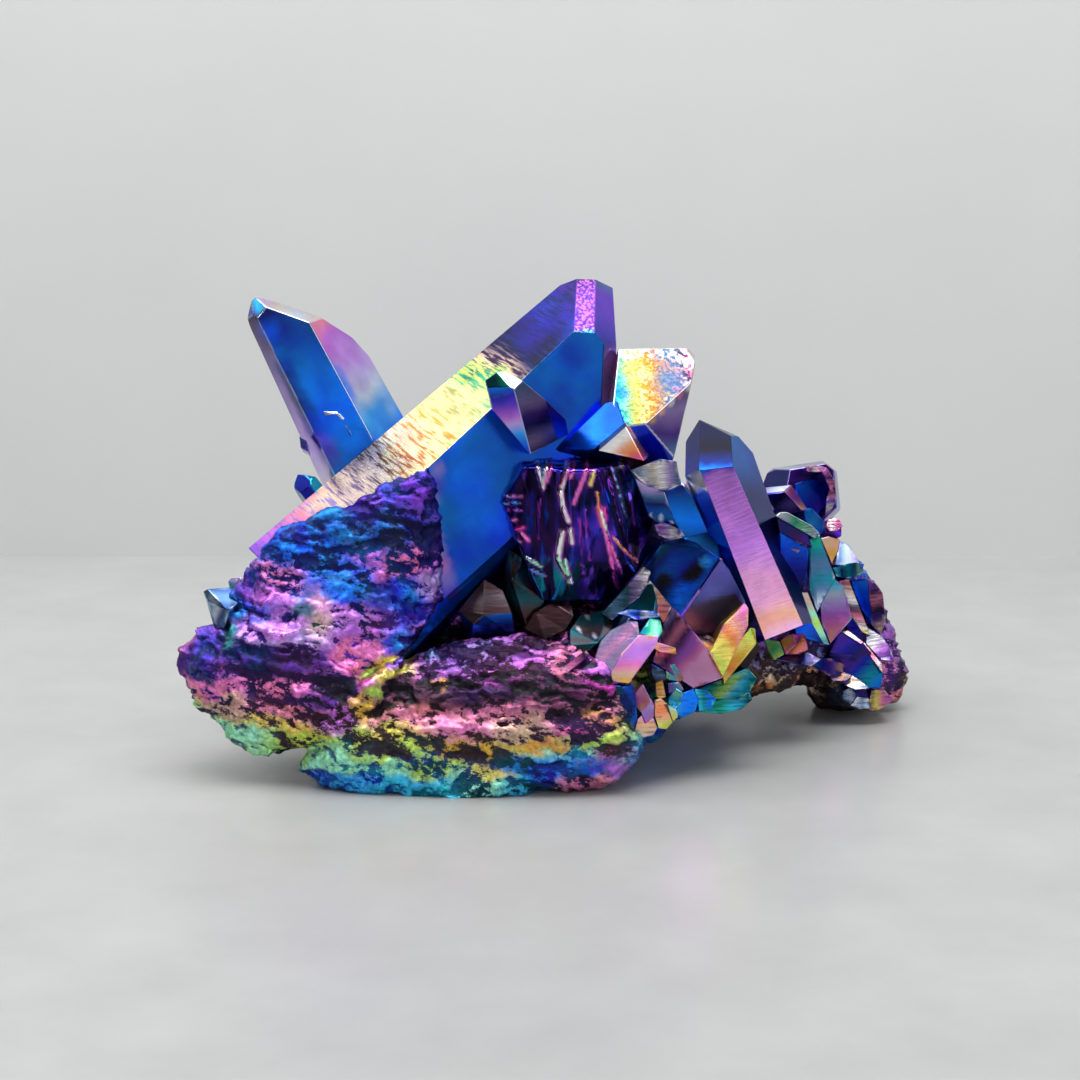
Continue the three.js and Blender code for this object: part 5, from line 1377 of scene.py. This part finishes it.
def plainMaterial(name, hexCode, blotchMm, spread):
    material, tree = emptyMaterial(name)
    place = addNode(tree, "ShaderNodeTexCoord").outputs["Object"]
    cloud = noiseValue(tree, place, scale=1 / (blotchMm * mm), detail=5.0, roughness=0.6)
    shade = spreadOver(tree, cloud, noiseBand, around(1, spread))
    tint = addNode(tree, "ShaderNodeHueSaturation", {"Color": (*linearColour(hexCode), 1)}, {"Value": shade})
    gloss = {"Roughness": stage["roughness"], "Specular IOR Level": stage["gloss"]}
    surface = addNode(tree, "ShaderNodeBsdfPrincipled", gloss, {"Base Color": tint.outputs["Color"]})
    addNode(tree, "ShaderNodeOutputMaterial", {}, {"Surface": surface.outputs["BSDF"]})
    return material


def stageSheet(name, material, corners):
    bm = bmesh.new()
    bmesh.ops.create_grid(bm, x_segments=1, y_segments=1, size=0.5)
    (x0, y0, z0), (x1, y1, z1) = corners
    for vertex in bm.verts:
        u, v = vertex.co.x + 0.5, vertex.co.y + 0.5
        vertex.co = Vector((x0 + (x1 - x0) * u, y0 + (y1 - y0) * v, z0 + (z1 - z0) * v)) * mm
    mesh = bpy.data.meshes.new(name)
    bm.to_mesh(mesh)
    bm.free()
    mesh.materials.append(material)
    sheet = bpy.data.objects.new(name, mesh)
    scene.collection.objects.link(sheet)
    return sheet


half, away = stage["width"] / 2, stage["wallAway"]
concrete = plainMaterial("pale sealed concrete", stage["floor"], stage["fleckMm"], stage["fleck"])
stageSheet("table_top", concrete, ((-half, stage["front"], 0), (half, away, 0)))
paintedWall = plainMaterial("pale painted wall", stage["wall"], stage["wallFleckMm"], stage["wallFleck"])
stageSheet("back_wall", paintedWall, ((-half, away, stage["wallFoot"]), (half, away, stage["wallTop"])))

# Soft lights: place and aim in mm, width and height in mm, watts, colour.
lights = {
    "overhead": ((0, -20, 520), (0, 0, 0), (460, 360), 1.7, "#ffffff"),
    "high_left": ((-330, 40, 420), (0, 0, 30), (340, 300), 1.3, "#ffffff"),
    "wall_wash": ((60, -60, 420), (40, 134, 90), (500, 120), 0.8, "#ffffff"),
    "side_right": ((430, -160, 240), (0, 0, 30), (200, 300), 0.4, "#f4f7ff"),
    "front_card": ((120, -640, 130), (0, 0, 60), (900, 380), 0.85, "#ffffff"),
    "window_strip": ((-250, -420, 330), (0, 0, 30), (50, 170), 0.35, "#ffffff"),
}


def softLight(name, place, aim, size, power, hexCode):
    lamp = bpy.data.lights.new(name, "AREA")
    lamp.shape = "RECTANGLE"
    lamp.size, lamp.size_y = size[0] * mm, size[1] * mm
    lamp.energy = power
    lamp.color = linearColour(hexCode)
    holder = bpy.data.objects.new(name, lamp)
    holder.location = Vector(place) * mm
    holder.rotation_euler = (Vector(aim) - Vector(place)).to_track_quat("-Z", "Y").to_euler()
    scene.collection.objects.link(holder)
    return holder


for name, light in lights.items():
    softLight(name, *light)

studio = {"air": "#e4e4e4", "airStrength": 0.16, "camera": (0, -240, 75.3), "pitchDown": 10, "lens": 66.667,
          "sensor": 36, "clipStart": 0.01}
world = bpy.data.worlds.new("studio")
scene.world = world
world.use_nodes = True
background = world.node_tree.nodes["Background"]
background.inputs["Color"].default_value = (*linearColour(studio["air"]), 1)
background.inputs["Strength"].default_value = studio["airStrength"]

camera = bpy.data.cameras.new("camera")
camera.sensor_width = studio["sensor"]
camera.lens = studio["lens"]
camera.clip_start = studio["clipStart"]
viewer = bpy.data.objects.new("camera", camera)
viewer.location = (Vector(studio["camera"]) - clusterCentre) * mm
viewer.rotation_euler = (math.radians(90 - studio["pitchDown"]), 0, 0)
scene.collection.objects.link(viewer)
scene.camera = viewer
scene.view_settings.view_transform = "Standard"
scene.view_settings.look = "None"

print("stage ready")
